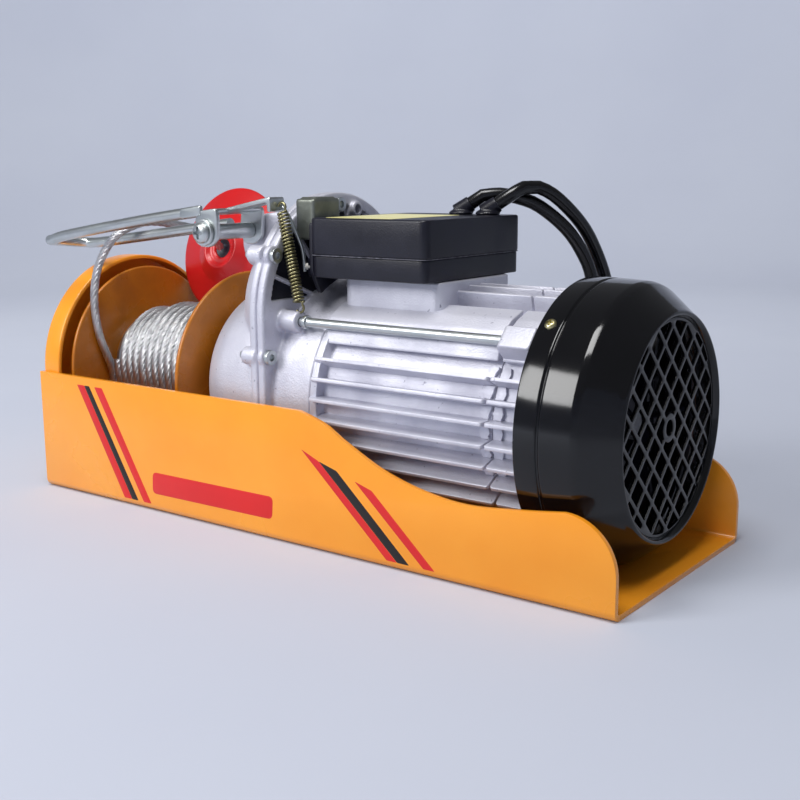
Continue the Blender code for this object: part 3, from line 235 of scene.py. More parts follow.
def worked(mesh, *steps):
    """The mesh after a run of modifiers, each given as its kind and its settings."""
    holder = bpy.data.objects.new("work", mesh)
    bpy.context.collection.objects.link(holder)
    for kind, settings in steps:
        modifier = holder.modifiers.new(kind, kind)
        for key, value in settings.items():
            setattr(modifier, key, value)
    result = bpy.data.meshes.new_from_object(holder.evaluated_get(bpy.context.evaluated_depsgraph_get()))
    bpy.data.objects.remove(holder)
    return result


def combined(operation, base, tools):
    holders = [bpy.data.objects.new("tool", tool) for tool in tools]
    for holder in holders:
        bpy.context.collection.objects.link(holder)
    result = worked(base, *[
        ("BOOLEAN", {"operation": operation, "solver": "MANIFOLD", "object": holder}) for holder in holders
    ])
    for holder in holders:
        bpy.data.objects.remove(holder)
    return result


def cut(base, *tools):
    return combined("DIFFERENCE", base, tools)


def fused(base, *tools):
    return combined("UNION", base, tools)


def softened(mesh, width, segments=2):
    """Round the hard edges of a shape."""
    return worked(mesh, ("BEVEL", {
        "width": width * MM, "segments": segments, "limit_method": "ANGLE", "angle_limit": math.radians(40),
    }))


def cast(voxel, passes, *shapes):
    """Melt overlapping shapes into one casting with soft inner corners."""
    return worked(
        joined(*shapes), ("REMESH", {"mode": "VOXEL", "voxel_size": voxel * MM}),
        ("SMOOTH", {"factor": 0.5, "iterations": passes}),
    )


def arc(centre, radius, start, end, count):
    """Points on an arc, angles in degrees."""
    turns = [math.radians(start + (end - start) * i / count) for i in range(count + 1)]
    return [(centre[0] + radius * math.cos(t), centre[1] + radius * math.sin(t)) for t in turns]


def eased(points, reach, closed=True, count=4):
    """Round the corners of a flat outline or profile."""
    points = [Vector(p) for p in points]
    result = []
    for i, here in enumerate(points):
        if not closed and i in (0, len(points) - 1):
            result.append(here)
            continue
        back, on = points[i - 1] - here, points[(i + 1) % len(points)] - here
        start = here + back.normalized() * min(reach, back.length / 2.05)
        end = here + on.normalized() * min(reach, on.length / 2.05)
        for k in range(count + 1):
            t = k / count
            result.append(start * (1 - t) ** 2 + here * 2 * t * (1 - t) + end * t * t)
    return [tuple(p) for p in result]


def rectangle(low, high):
    return [low, (high[0], low[1]), high, (low[0], high[1])]


def spun(points, closed, axis, steps):
    """Carry a line of points once round an axis."""
    shape = bmesh.new()
    line = [shape.verts.new(point) for point in points]
    pairs = list(zip(line, line[1:]))
    if closed:
        pairs.append((line[-1], line[0]))
    edges = [shape.edges.new(pair) for pair in pairs]
    bmesh.ops.spin(shape, geom=line + edges, cent=(0, 0, 0), axis=axis, angle=math.tau, steps=steps,
                   use_merge=True)
    return shape


def lathe(profile, where=MAIN_AXIS, steps=96):
    """Turn a profile of distances along and radii round a line."""
    hollow = profile[0][1] > 0 or profile[-1][1] > 0
    shape = spun([(along * MM, 0, radius * MM) for along, radius in profile], hollow, (1, 0, 0), steps)
    shape.transform(where)
    return finished(shape)


def turned(profile, rounding, where=MAIN_AXIS, steps=96):
    """A solid turned from a profile that starts and ends on the line, with eased corners."""
    return lathe(eased(profile, rounding, closed=False), where, steps)


def rod(start, end, radius, where=MAIN_AXIS, steps=48, rounding=0.5):
    """A round bar or cutter along a line, with eased ends."""
    profile = [(start, 0), (start, radius), (end, radius), (end, 0)]
    return lathe(eased(profile, rounding, closed=False, count=3), where, steps)


def slab(outlines, low, high, where, rounding=0.0):
    """Fill flat outlines and give them thickness, with rounded edges."""
    curve = bpy.data.curves.new("work", "CURVE")
    curve.dimensions, curve.fill_mode = "2D", "BOTH"
    curve.extrude = ((high - low) / 2 - rounding) * MM
    curve.bevel_depth, curve.offset, curve.bevel_resolution = rounding * MM, -rounding * MM, 2
    for outline in outlines:
        line = curve.splines.new("POLY")
        line.points.add(len(outline) - 1)
        line.use_cyclic_u = True
        for point, (u, v) in zip(line.points, outline):
            point.co = (u * MM, v * MM, 0, 1)
    holder = bpy.data.objects.new("work", curve)
    bpy.context.collection.objects.link(holder)
    flat = bpy.data.meshes.new_from_object(holder.evaluated_get(bpy.context.evaluated_depsgraph_get()))
    bpy.data.objects.remove(holder)
    shape = bmesh.new()
    shape.from_mesh(flat)
    shape.transform(where @ Matrix.Translation((0, 0, (low + high) / 2 * MM)))
    return finished(shape)


def block(low, high, rounding=1.0, corner=0.0):
    """A moulded block between two corners, upright corners eased in plan."""
    plan = rectangle(low[:2], high[:2])
    return slab([eased(plan, corner) if corner else plan], low[2], high[2], PLAN_VIEW, rounding)


def round_section(radius, sides):
    return arc((0, 0), radius, 0, 360, sides)[:-1]


def rope_section(radius, strands=6, sides=36):
    """Outline of strands laid round a core, worn nearly round."""
    centre, strand, relief = radius * 2 / 3, radius / 3, 0.35
    outline = []
    for i in range(sides):
        turn = math.tau * i / sides
        off = math.remainder(turn, math.tau / strands)
        reach = centre * math.cos(off) + math.sqrt(max(0, strand ** 2 - (centre * math.sin(off)) ** 2))
        worn = relief * reach + (1 - relief) * radius
        outline.append((worn * math.cos(turn), worn * math.sin(turn)))
    return outline


def sweep(points, section, lay=None, sizes=None):
    """Carry a section along a path, turning once every lay.

    The UVs run round the section, and in metres along the path."""
    shape = bmesh.new()
    uv = shape.loops.layers.uv.new("UVMap")
    side = (points[1] - points[0]).orthogonal().normalized()
    rings, walked = [], [0.0]
    for i, point in enumerate(points):
        if i:
            walked.append(walked[-1] + (point - points[i - 1]).length)
        ahead = (points[min(i + 1, len(points) - 1)] - points[max(i - 1, 0)]).normalized()
        side = (side - ahead * side.dot(ahead)).normalized()
        across = ahead.cross(side)
        turn = math.tau * walked[-1] / (lay * MM) if lay else 0.0
        size = (sizes[i] if sizes else 1) * MM
        ring = []
        for u, v in section:
            a, b = u * math.cos(turn) - v * math.sin(turn), u * math.sin(turn) + v * math.cos(turn)
            ring.append(shape.verts.new(point + (side * a + across * b) * size))
        rings.append(ring)
    count = len(section)
    for i, (ring, after) in enumerate(zip(rings, rings[1:])):
        for k in range(count):
            m = (k + 1) % count
            face = shape.faces.new((ring[k], ring[m], after[m], after[k]))
            for loop, where in zip(face.loops, ((k, i), (k + 1, i), (k + 1, i + 1), (k, i + 1))):
                loop[uv].uv = where[0] / count, walked[where[1]]
    shape.faces.new(rings[0])
    shape.faces.new(rings[-1])
    return finished(shape)


def smooth_path(points, spacing):
    """Points a steady step apart on a smooth curve through the given ones."""
    points = [Vector(p) for p in points]
    ends = [2 * points[0] - points[1], *points, 2 * points[-1] - points[-2]]
    fine = []
    for a, b, c, d in zip(ends, ends[1:], ends[2:], ends[3:]):
        for i in range(16):
            t = i / 16
            fine.append(0.5 * (2 * b + (c - a) * t + (2 * a - 5 * b + 4 * c - d) * t ** 2
                               + (3 * b - a - 3 * c + d) * t ** 3))
    fine.append(points[-1])
    total = sum((b - a).length for a, b in zip(fine, fine[1:]))
    count = max(2, round(total / spacing))
    path, walked, want = [fine[0]], 0.0, total / count
    for a, b in zip(fine, fine[1:]):
        step = (b - a).length
        while len(path) < count and walked + step >= want * len(path):
            path.append(a.lerp(b, (want * len(path) - walked) / step))
        walked += step
    path.append(fine[-1])
    return path


def length_of(points):
    return sum((b - a).length for a, b in zip(points, points[1:]))


def show(name, body, mesh, slot, *nodes, material=None, sharp=38):
    """Put a finished mesh in the scene as a piece of one moving body, in place of CAD nodes."""
    mesh.name = name
    piece = bpy.data.objects.new(name, mesh)
    bpy.context.collection.objects.link(piece)
    mesh.materials.clear()
    mesh.materials.append(material or FINISHES[slot])
    mesh.shade_smooth()
    mesh.set_sharp_from_angle(angle=math.radians(sharp))
    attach(piece, body)
    if nodes:
        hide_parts(*nodes)
    return piece


# Camera, light and floor
def studio():
    camera = bpy.data.objects.new("photo_camera", bpy.data.cameras.new("photo_camera"))
    bpy.context.collection.objects.link(camera)
    camera.data.lens, camera.data.sensor_width = 52.27, 36
    right, up, back = (0.80094, 0.59874, -0.00607), (-0.11029, 0.15749, 0.98136), (0.58851, -0.78531, 0.19217)
    turn = Matrix((right, up, back)).transposed().to_4x4()
    camera.matrix_world = Matrix.Translation((0.4345, -0.5395, 0.2053)) @ turn
    bpy.context.scene.camera = camera

    # A shallow bowl, flat under the hoist, so that floor and wall run into each other on every side
    cove, flat, top = 0.9, 1.5, 1.2
    curve = [(x, 0, z) for x, z in arc((flat, cove), cove, -90, 0, 10)]
    mesh = finished(spun([(0, 0, 0), *curve, (flat + cove, 0, top)], False, (0, 0, 1), 96))
    mesh.flip_normals()
    mesh.shade_smooth()
    # Paper roll: matt and pale blue grey, with the least mottling
    mesh.materials.append(surface("pale_paper", ("#C1C6D3", "#BDC2D0"), 400, 5, 0.02, (0.85, 0.95)))
    floor = bpy.data.objects.new("studio_floor", mesh)
    bpy.context.collection.objects.link(floor)

    hoist, wall = (0, 0, 0.09), (-1.35, 1.8, 0.9)
    for name, spot, aim, size, power in (
        ("key_light", (-0.65, -1.34, 0.95), hoist, 0.7, 17),
        ("top_light", (0.15, -0.6, 1.8), hoist, 0.8, 24),
        ("backdrop_light", (-0.4, 0.6, 1.6), wall, 1.2, 19),
    ):
        lamp = bpy.data.objects.new(name, bpy.data.lights.new(name, "AREA"))
        bpy.context.collection.objects.link(lamp)
        lamp.data.size, lamp.data.energy = size, power
        lamp.location = spot
        lamp.rotation_euler = (Vector(aim) - Vector(spot)).to_track_quat("-Z", "Y").to_euler()
    world = bpy.data.worlds.new("studio_world")
    bpy.context.scene.world = world
    world.use_nodes = True
    sky = world.node_tree.nodes["Background"].inputs
    sky["Color"].default_value, sky["Strength"].default_value = linear("#E6E9F2"), 0.18
    bpy.context.scene.view_settings.view_transform = "Standard"


# Cables, with the rope's free end
CABLE_RADIUS, SHEATH_RADIUS = 4, 3.95
COIL_STEP = 8.7
STUB, RUN_IN = 8, 24
COIL_LOW_Z = 6
GLAND_STATIONS = {"pendant": 259, "mains": 277.5}
GLAND_Y, BOX_TOP_Z = 36, 181
GLAND_TILT = Vector((0.72, 0.42, 0.55)).normalized()
GLAND_NECK, GLAND_NOSE = 2.5, 7
CABLE_ROUTES = {
    "pendant": [
        (278, 48.5, 192.5), (286, 54.5, 190.6), (296, 62, 185.8), (308.5, 72, 173), (316, 79, 159),
        (320, 85, 143), (322, 89, 112), (319, 90, 76), (307, 90, 40), (282, 88, 14), (255, 87, 6),
        (230, 92, 6), (210, 103, 6),
    ],
    "mains": [
        (293, 50, 196.3), (297, 57, 196.9), (305, 67, 190.7), (314, 82, 174.7), (318.5, 94, 156.5),
        (322, 102, 136), (327, 108, 104), (330, 111, 68), (330, 110, 38), (326, 104, 15),
    ],
}
COILS = {"pendant": ((160, 165), 53, 1.25), "mains": ((282, 150), 49, 1.375)}


def gland_mouth(lead):
    seat = place(GLAND_STATIONS[lead], GLAND_Y, BOX_TOP_Z)
    return seat + GLAND_NECK * MM * UP + GLAND_NOSE * MM * GLAND_TILT


def coil_path(lead):
    """In along the lower layer, up in half a turn, and out along the upper one."""
    (x, y), outer, turns = COILS[lead]
    start, steps = -math.pi / 2, 48
    points = []
    for i in range(round((2 * turns + 0.5) * steps) + 1):
        turn = i / steps
        climb = min(1, max(0, (turn - turns) / 0.5))
        angle = start - math.tau * turn
        radius = outer - COIL_STEP * (turns + 0.25 - abs(turn - turns - 0.25))
        height = COIL_LOW_Z + COIL_STEP * climb * climb * (3 - 2 * climb)
        points.append(place(x + radius * math.cos(angle), y + radius * math.sin(angle), height))
    points.insert(0, points[0] - STUB * MM * Vector((math.sin(start), -math.cos(start), 0)))
    points.append(points[-1] + RUN_IN * MM * Vector((math.sin(angle), -math.cos(angle), 0)))
    return points


def cable_path(lead):
    coil = coil_path(lead)
    into = (coil[1] - coil[0]).normalized()
    mouth = gland_mouth(lead)
    route = [mouth + STUB * MM * GLAND_TILT, *[place(*point) for point in CABLE_ROUTES[lead]]]
    route += [coil[0] - RUN_IN * MM * into, coil[0] - STUB * MM * into]
    crest = CAD_BOX[1][2] - SHEATH_RADIUS * MM
    free = [Vector((p.x, p.y, min(p.z, crest))) for p in smooth_path(route, 5 * MM)]
    return [mouth, *free, *coil]


def cable(lead, stiffness, far_end, *with_pieces):
    path = cable_path(lead)
    curve = bpy.data.curves.new(lead + "_lead", "CURVE")
    curve.dimensions, curve.bevel_depth, curve.bevel_resolution = "3D", SHEATH_RADIUS * MM, 6
    curve.use_fill_caps = True
    line = curve.splines.new("POLY")
    line.points.add(len(path) - 1)
    line.use_smooth = True
    for point, where in zip(line.points, path):
        point.co = (*where, 1)
    curve.materials.append(FINISHES["cable_pvc"])
    lead_piece = bpy.data.objects.new(lead + "_lead", curve)
    bpy.context.collection.objects.link(lead_piece)
    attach(lead_piece, "main")
    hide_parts(lead + "_cable", lead + "_cable_coil")


def cable_end(lead):
    """Where a lead leaves its coil, and the way it points there."""
    coil = coil_path(lead)
    return coil[-1], (coil[-1] - coil[-2]).normalized()


def coil_tie(lead):
    """Nylon strap pulled round the turns of a coil, with its locking head on top."""
    (x, y), outer, turns = COILS[lead]
    near = x + outer - COIL_STEP * (turns + 0.25) - CABLE_RADIUS - 0.5
    far = x + outer + CABLE_RADIUS + 0.9
    low, high, wall = 1.4, COIL_LOW_Z + COIL_STEP + CABLE_RADIUS + 0.4, 1.1
    loops = [
        eased(rectangle((near - grow, low - grow), (far + grow, high + grow)), 3.5 + grow)
        for grow in (wall, 0)
    ]
    strap = slab(loops, y - 3, y + 3, SIDE_VIEW, 0.3)
    return show(lead + "_strap", "main", strap, "black_plastic", lead + "_cable_tie")


def cable_gland(lead):
    """Rubber cone in the lid that turns the cable towards the fan end."""
    seat = place(GLAND_STATIONS[lead], GLAND_Y, BOX_TOP_Z)
    collar = turned([(-7, 0), (-7, 6), (0.3, 6), (0.3, 7.2), (1.2, 7.2), (2.6, 5.6), (3.4, 0)], 0.8,
                    axis_at(seat, UP), 40)
    nose = turned([(-3, 0), (-3, 5.1), (GLAND_NOSE, 4.7), (GLAND_NOSE, 4.1), (3, 4.1), (3, 0)], 0.5,
                  axis_at(seat + GLAND_NECK * MM * UP, GLAND_TILT), 40)
    bent = cast(0.5, 3, collar, nose)
    return show(lead + "_rubber_gland", "main", bent, "black_plastic", lead + "_gland", sharp=60)


def power_plug():
    """Moulded plug: ribbed strain relief, waisted body, two flat pins."""
    end, along = cable_end("mains")
    line = axis_at(end + 0.3 * MM * along, along)
    ribs = [(0, 4.1), (0, 5)]
    for i in range(6):
        start, radius = 2.5 + 3.4 * i, 5.3 + 0.42 * i
        ribs += [(start, radius), (start + 2, radius), (start + 2.1, radius - 1), (start + 3.2, radius - 1)]
    body = [(23, 7.4), (24, 9.6), (28, 10.4), (34, 10.8), (41, 12.6), (45.4, 13), (46, 12.4), (46, 0)]
    moulding = lathe(eased(ribs + body + [(3, 0), (3, 4.1)], 0.7, count=3), line, 56)
    side = along.cross(UP).normalized()
    frame_turn = Matrix((along, side, UP)).transposed().to_4x4()
    pins = []
    for sign in (-1, 1):
        upright = Matrix.Rotation(math.pi / 2, 4, "X")
        flat = slab([eased(rectangle((-9, -3.2), (9, 3.2)), 1.4)], -0.8, 0.8, upright, 0.25)
        flat.transform(Matrix.Translation(end + 53.3 * MM * along + sign * 6 * MM * side) @ frame_turn)
        pins.append(flat)
    piece = show("mains_plug", "main", moulding, "black_plastic", "power_plug")
    blades = show("mains_plug_pins", "main", joined(*pins), "zinc_plate")
    return piece, blades


BUTTONS = {"button_up": (30, 6.5, 3), "button_down": (54, 6.5, 3), "button_stop": (82, 8.5, 5)}
HANDSET_WIDTH, HANDSET_LENGTH, HANDSET_DEPTH = 38, 105, 28


def handset():
    """Two-part handset on its back: rounded case with a parting line, button collars and buttons."""
    end, along = cable_end("pendant")
    start = end + 0.3 * MM * along
    side = along.cross(UP).normalized()
    base = Matrix.Translation(start + 26 * MM * along) @ Matrix((side, along, UP)).transposed().to_4x4()
    wide, long, deep = HANDSET_WIDTH / 2, HANDSET_LENGTH, HANDSET_DEPTH / 2
    plan = eased(rectangle((-wide, 0), (wide, long)), 9, count=6)
    tray, cover = slab([plan], -deep, -0.3, base, 3), slab([plan], 0.3, deep, base, 3)
    waist = slab([eased(rectangle((-wide + 1, 1), (wide - 1, long - 1)), 8, count=6)], -1, 1, base, 0.2)
    wells, collars = [], []
    for name, (reach, radius, proud) in BUTTONS.items():
        spot = axis_at(base @ Vector((0, reach * MM, deep * MM)), UP)
        wells.append(rod(-9, 3, radius + 0.3, spot, 40, 0.1))
        collar = [(-2, radius + 0.3), (-2, radius + 2), (0.0, radius + 2.2), (0.0, radius + 0.3)]
        collars.append(lathe(eased(collar, 0.6), spot, 56))
        dome = [(-5, 0), (-5, radius), (proud - 1.2, radius), (proud, radius - 1.6), (proud - 0.3, 0)]
        colour = "red_button" if name == "button_stop" else "green_button"
        show(name + "_cap", name, turned(dome, 1.2, spot, 56), colour, name)
    case = fused(cut(fused(tray, waist, cover), *wells), *collars)
    ribs = [(0, 4.1), (0, 5)]
    for i in range(5):
        ribs += [(3 + 4.6 * i, 5.4 + 0.5 * i), (5.8 + 4.6 * i, 5.4 + 0.5 * i), (7.4 + 4.6 * i, 4.6 + 0.5 * i)]
    ribs += [(29, 8), (29, 0), (3, 0), (3, 4.1)]
    relief = lathe(eased(ribs, 0.6, count=3), axis_at(start, along), 48)
    return show("pendant_handset", "main", joined(case, relief), "black_plastic", "pendant_case")


ROPE_RADIUS = 2.7
ROPE_LAY = 28
ROPE_ROUTE = [
    (24.5, 0, 42.2), (24.5, -20, 47.6), (24.5, -33, 61), (24.5, -36.6, 78), (24.3, -45, 100),
    (24.6, -48, 124), (31, -48, 147), (45, -46, 165), (54, -38.5, 172.3), (61.5, -28, 175.2),
    (65.5, -10, 172.5), (66, 8, 168.5), (64.2, 22, 162), (61.9, 32.5, 155.6),
]


def free_rope():
    path = smooth_path([place(*point) for point in ROPE_ROUTE], 1.5 * MM)
    rope = sweep(path, rope_section(ROPE_RADIUS), ROPE_LAY)
    piece = show("free_rope", "main", rope, "rope_wire", "rope_free", sharp=80)


# Frame and drum
WALL_TOP = [
    (224, 79), (245, 72.8), (258.5, 65.3), (284, 53.2), (310, 46), (337, 43), (369, 45.7), (392, 48.6),
]


def frame_channel():
    half, top, bend, sheet = 75.96, 78, 5, 3
    left, right = (bend - half, bend), (half - bend, bend)
    section = [(-half, top), *arc(left, bend, 180, 270, 8), *arc(right, bend, 270, 360, 8), (half, top)]
    inner_bend = bend - sheet
    section += [(half - sheet, top), *arc(right, inner_bend, 360, 270, 6), *arc(left, inner_bend, 270, 180, 6)]
    section += [(sheet - half, top)]
    edge = smooth_path([Vector((x, z, 0)) * MM for x, z in WALL_TOP], 5 * MM)
    rise = [(p.x / MM, p.y / MM) for p in edge]
    above = rise + arc((392, 20.6), 28, 90, 0, 14)[1:] + [(430, 20.6), (430, 95), (224, 95)]
    holes = [
        rod(-5, 10, 4.5, axis_at(Vector((x, y, 0)) * MM, UP), 40, 0.1)
        for x in (-140, 150) for y in (-45, 45)
    ]
    channel = cut(slab([section], 0, 420, END_VIEW), slab([above], -90, 90, SIDE_VIEW), *holes)
    return show("orange_frame", "main", softened(channel, 0.6), "orange_paint", "frame_channel")


# Corners of the near wall's slanted bands and blank plate: stations and heights
BANDS = [
    ("red_band_1", RED_FILM, "red_paint", [(37.8, 73), (44.8, 73), (86, 4.6), (79, 4.6)]),
    ("black_band_1", BLACK_FILM, "black_plastic", [(44.9, 73), (49.8, 73), (92, 4.6), (86.1, 4.6)]),
    ("red_band_2", RED_FILM, "red_paint", [(54.8, 73), (62.2, 73), (104, 4.6), (97, 4.6)]),
    ("red_band_3", RED_FILM, "red_paint", [(229, 56.8), (241.4, 51.8), (294.4, 4.6), (287.6, 4.6)]),
    ("black_band_2", BLACK_FILM, "black_plastic", [(241.6, 51.7), (254.2, 48.1), (302.4, 4.6), (294.6, 4.6)]),
    ("red_band_4", RED_FILM, "red_paint", [(266.4, 44.4), (278, 41), (318.6, 4.6), (311.4, 4.6)]),
]


def wall_films():
    for name, film, slot, corners in BANDS:
        show(name, "main", slab([eased(corners, 0.8)], -76, -75.9, SIDE_VIEW, 0.03), slot, material=film)
    corners = [(105.6, 11.6), (206, 12.4), (207, 25.9), (106.4, 25.3)]
    plate = slab([eased(corners, 3.5)], -76, -75.7, SIDE_VIEW, 0.1)
    show("blank_red_plate", "main", plate, "red_paint", material=RED_FILM)


def arch_outline(inset, foot):
    radius, corner = 72.4 - inset, 5
    inner = radius - corner
    legs = arc((-inner, foot + corner), corner, 180, 270, 6)
    legs += arc((inner, foot + corner), corner, 270, 360, 6)
    return arc((0, AXIS_Z), radius, 0, 180, 72) + legs


def drum_end_plate():
    room = slab([arch_outline(2.4, 5.7)], 3, 25, END_VIEW)
    pan = cut(slab([arch_outline(0, 3.3)], 0, 15, END_VIEW, 1.1), room)
    boss = turned([(1, 0), (1, 22), (13, 21), (13, 0)], 1.5)
    whole = cut(fused(pan, boss), rod(2.7, 14, 16.3, rounding=0.05))
    return show("arched_end_plate", "main", softened(whole, 0.5), "orange_paint", "drum_end_plate")


def rope_drum():
    profile = eased([
        (18, 9.3), (18, 26), (18, 65), (21, 65), (21, 29), (118, 29), (118, 66), (121, 66), (121, 9.3),
    ], 1.4)
    shell = lathe(profile, steps=128)
    # The drum takes the darker enamel: painted shade
    return show("drum_shell", "drum", shell, "orange_paint", "rope_drum", material=SHADED_DRUM_ENAMEL)


def winding_radius(turn):
    climb = min(1, max(0, (turn - 4) / 0.5))
    return 35.6 + 4.4 * climb * climb * (3 - 2 * climb)


def drum_rope():
    """The outer turns as one laid rope, and the turns below them as a ribbed core."""
    points, steps = [], 72
    for i in range(14 * steps + 1):
        turn = i / steps
        angle, radius = math.pi + math.tau * turn, winding_radius(turn)
        points.append(place(30.3 + 6 * turn, radius * math.cos(angle), AXIS_Z + radius * math.sin(angle)))
    tuck = ROPE_RADIUS * MM * UP
    points = [points[0] + 2 * tuck, points[0] + tuck, *points, points[-1] - tuck, points[-1] - 2 * tuck]
    rope = sweep(points, rope_section(ROPE_RADIUS, sides=24), ROPE_LAY)
    show("wound_rope", "drum", rope, "rope_wire", "rope_winding", sharp=80)
    ribs = []
    for i in range(16):
        top = 31.3 if i < 6 else 35.5
        ribs += arc((24.2 + 6 * i, top - 2.7), 2.7, 170, 10, 8)
    core = [(21.3, 29.6), (21.3, 29.7), *ribs, (117.7, 32.8), (117.7, 29.6)]
    core = [(a, max(29.65, r)) if 0 < i < len(core) - 1 else (a, r) for i, (a, r) in enumerate(core)]
    show("lower_rope_turns", "drum", lathe(core), "rope_wire", "rope_inner_layers", sharp=80)


# Gear case
CASE_BOLTS = [(-64, 103), (64, 103), (-57, 160), (57, 160), (0, 187)]
TIE_RODS = [(-51, 123), (51, 123)]
OPEN_BOSS = (14, 184)
RIB_ANGLES = (48, 64, 80, 96, 112, 128, 158)


def line_at(y, z):
    """A line along the hoist at a sideways distance and a height."""
    return Matrix.Translation(place(0, y, z))


def rods(spots, start, end, radius, steps, rounding=0.1):
    """Bars or cutters along the hoist at several spots."""
    return [rod(start, end, radius, line_at(*spot), steps, rounding) for spot in spots]


def across_at(angle, height=AXIS_Z):
    """Plane through a shaft's line at an angle: stations, distance out, thickness across."""
    c, s = math.cos(math.radians(angle)), math.sin(math.radians(angle))
    return Matrix(((1, 0, 0, -HALF_FRAME * MM), (0, c, -s, 0), (0, s, c, height * MM), (0, 0, 0, 1)))


def stadium(half_width):
    return arc((0, LAYSHAFT_Z), half_width, 0, 180, 60) + arc((0, AXIS_Z), half_width, 180, 360, 60)


def gear_case_front():
    flange = slab([stadium(68)], 184.5, 189.85, END_VIEW, 1.2)
    bell = turned([
        (126, 0), (126, 40), (128, 46), (138, 56), (150, 61), (172, 64.5), (188, 65.5), (188, 0),
    ], 4)
    dome = turned([
        (137, 0), (137, 16), (146, 20), (151, 34), (160, 46), (172, 55), (188.6, 60), (188.6, 0),
    ], 4, LAYSHAFT_AXIS)
    lug = slab([eased([
        (138, 162), (143, 150), (172, 150), (187.3, 160), (187.3, 184), (180, 184), (158, 182),
        (146, 179), (139, 171),
    ], 4)], -24, -14, SIDE_VIEW, 1.2)
    foot = block((168, -52, 3.3), (189.7, 52, 22), 1.5, 4)
    bosses = rods(CASE_BOLTS, 178, 189, 5.5, 40, 1.2)
    casting = cast(0.9, 4, flange, bell, dome, lug, foot, *bosses)
    rooms = [
        lathe([(148, 0), (148, 44), (168, 46), (192, 50), (192, 0)]),
        lathe([(147.4, 0), (147.4, 16), (173, 16), (174, 44.5), (193, 44.5), (193, 0)], LAYSHAFT_AXIS),
        rod(120, 150, 16.3), rod(138.4, 150, 10.3, LAYSHAFT_AXIS),
        rod(-27, -15, 2.8, axis_at(place(150, 0, 172), (0, 1, 0)), 32, 0.1),
    ]
    bored = cut(casting, *rooms, *rods(CASE_BOLTS, 170, 220, 2.7, 24))
    return show("drum_side_casting", "main", bored, "cast_aluminium", "gear_case_front", sharp=50)


def gear_case_rear():
    sunk = arc((0, LAYSHAFT_Z), 61, 8, 172, 48)
    flange = cut(slab([stadium(68)], 190.15, 195.6, END_VIEW, 1.2), slab([sunk], 192.4, 200, END_VIEW))
    collar = turned([(192, 0), (192, 62.5), (223.7, 62.5), (223.7, 0)], 1.0)
    boss = rod(191.4, 204, 17, LAYSHAFT_AXIS, 64, 1.5)
    bosses = rods(CASE_BOLTS, 191, 195.2, 5.5, 40, 1.2)
    sockets = rods(TIE_RODS, 192.6, 209, 6, 40, 1.2)
    rib = rectangle((191, 15), (195.2, 63))
    ribs = [slab([rib], -1.1, 1.1, across_at(angle, LAYSHAFT_Z), 0.3) for angle in RIB_ANGLES]
    open_boss = rod(191, 199, 4.8, line_at(*OPEN_BOSS), 40, 0.8)
    casting = cast(0.8, 3, flange, collar, boss, open_boss, *bosses, *sockets, *ribs)
    rooms = [
        rod(207, 229, 54), rod(198, 210, 16.3), rod(186, 200, 14),
        rod(188, 199, 10.3, LAYSHAFT_AXIS), rod(191.5, 202, 2.9, line_at(*OPEN_BOSS), 32, 0.1),
    ]
    holes = rods(CASE_BOLTS, 170, 220, 2.7, 24) + rods(TIE_RODS, 201, 230, 2.9, 24)
    bored = cut(casting, *rooms, *holes)
    show("motor_side_casting", "main", bored, "cast_aluminium", "gear_case_rear", sharp=50)
    # Dark sheet on the floor of the recess, between the ribs: painted shade for the deep, shadowed recess
    seats = [rod(185, 205, 19, LAYSHAFT_AXIS), *rods([*CASE_BOLTS, *TIE_RODS, OPEN_BOSS], 185, 205, 6.6, 40)]
    sheet = cut(slab([arc((0, LAYSHAFT_Z), 60, 8, 172, 48)], 191.6, 193.1, END_VIEW, 0.2), *seats)
    show("recess_painted_shade_sheet", "main", sheet, "black_plastic")


def case_bolts():
    """Cap screws with a six-sided socket."""
    for number, (y, z) in enumerate(CASE_BOLTS, 1):
        line = line_at(y, z)
        profile = [(175, 0), (175, 2.5), (195.3, 2.5), (195.3, 4.3), (198, 4.3), (198, 0)]
        screw = cut(turned(profile, 0.4, line, 36), rod(196.2, 200, 2.3, line, 6, 0.01))
        show(f"case_cap_screw_{number}", "main", screw, "zinc_plate", f"gear_case_bolt_{number}")


# Motor
FIN_FOOT, FIN_ROOT, FIN_TIP = 54.5, 56.5, 67
FIN_ANGLES = [
    a for a in range(6, 366, 10)
    if math.sin(math.radians(a)) > -0.6 and not (30 < a < 70 or 110 < a < 150)
]


def shoulder(start, end):
    """The flat sloping strip between tie rod and pad, on both sides."""
    strip = [(-51, 112), (-46.2, 126.5), (-37, 132), (-26, 136), (-26, 118)]
    sides = [strip, [(-y, z) for y, z in reversed(strip)]]
    return [slab([eased(side, 1.5)], start, end, END_VIEW, 0.8) for side in sides]


def fin(blade, angle):
    """A cooling fin that thins towards its tip."""
    mesh = slab([blade], -1.7, 1.7, Matrix.Identity(4), 0.4)
    for vertex in mesh.vertices:
        vertex.co.z *= 1 - 0.4 * (vertex.co.y / MM - FIN_ROOT) / (FIN_TIP - FIN_ROOT)
    mesh.transform(across_at(angle))
    return mesh


def motor_housing():
    wall = [(224, 52), (224, 62.4), (228.6, 62.4), (229.4, FIN_ROOT), (340, FIN_ROOT), (340, 52)]
    body = lathe(eased(wall, 0.5), steps=120)
    blade = eased([
        (224.6, FIN_FOOT), (224.6, 62.6), (227.4, FIN_TIP), (339.2, FIN_TIP), (339.9, 66), (339.9, FIN_FOOT),
    ], 0.8)
    fins = [fin(blade, angle) for angle in FIN_ANGLES]
    pad = block((228, -36, 126), (294, 36, 147.7), 1.2, 6)
    clear = rod(220, 300, 54, rounding=0.1)
    whole = fused(body, joined(*fins), cut(pad, clear), *shoulder(226, 339.6))
    return show("finned_motor_housing", "main", whole, "cast_aluminium", "motor_housing")


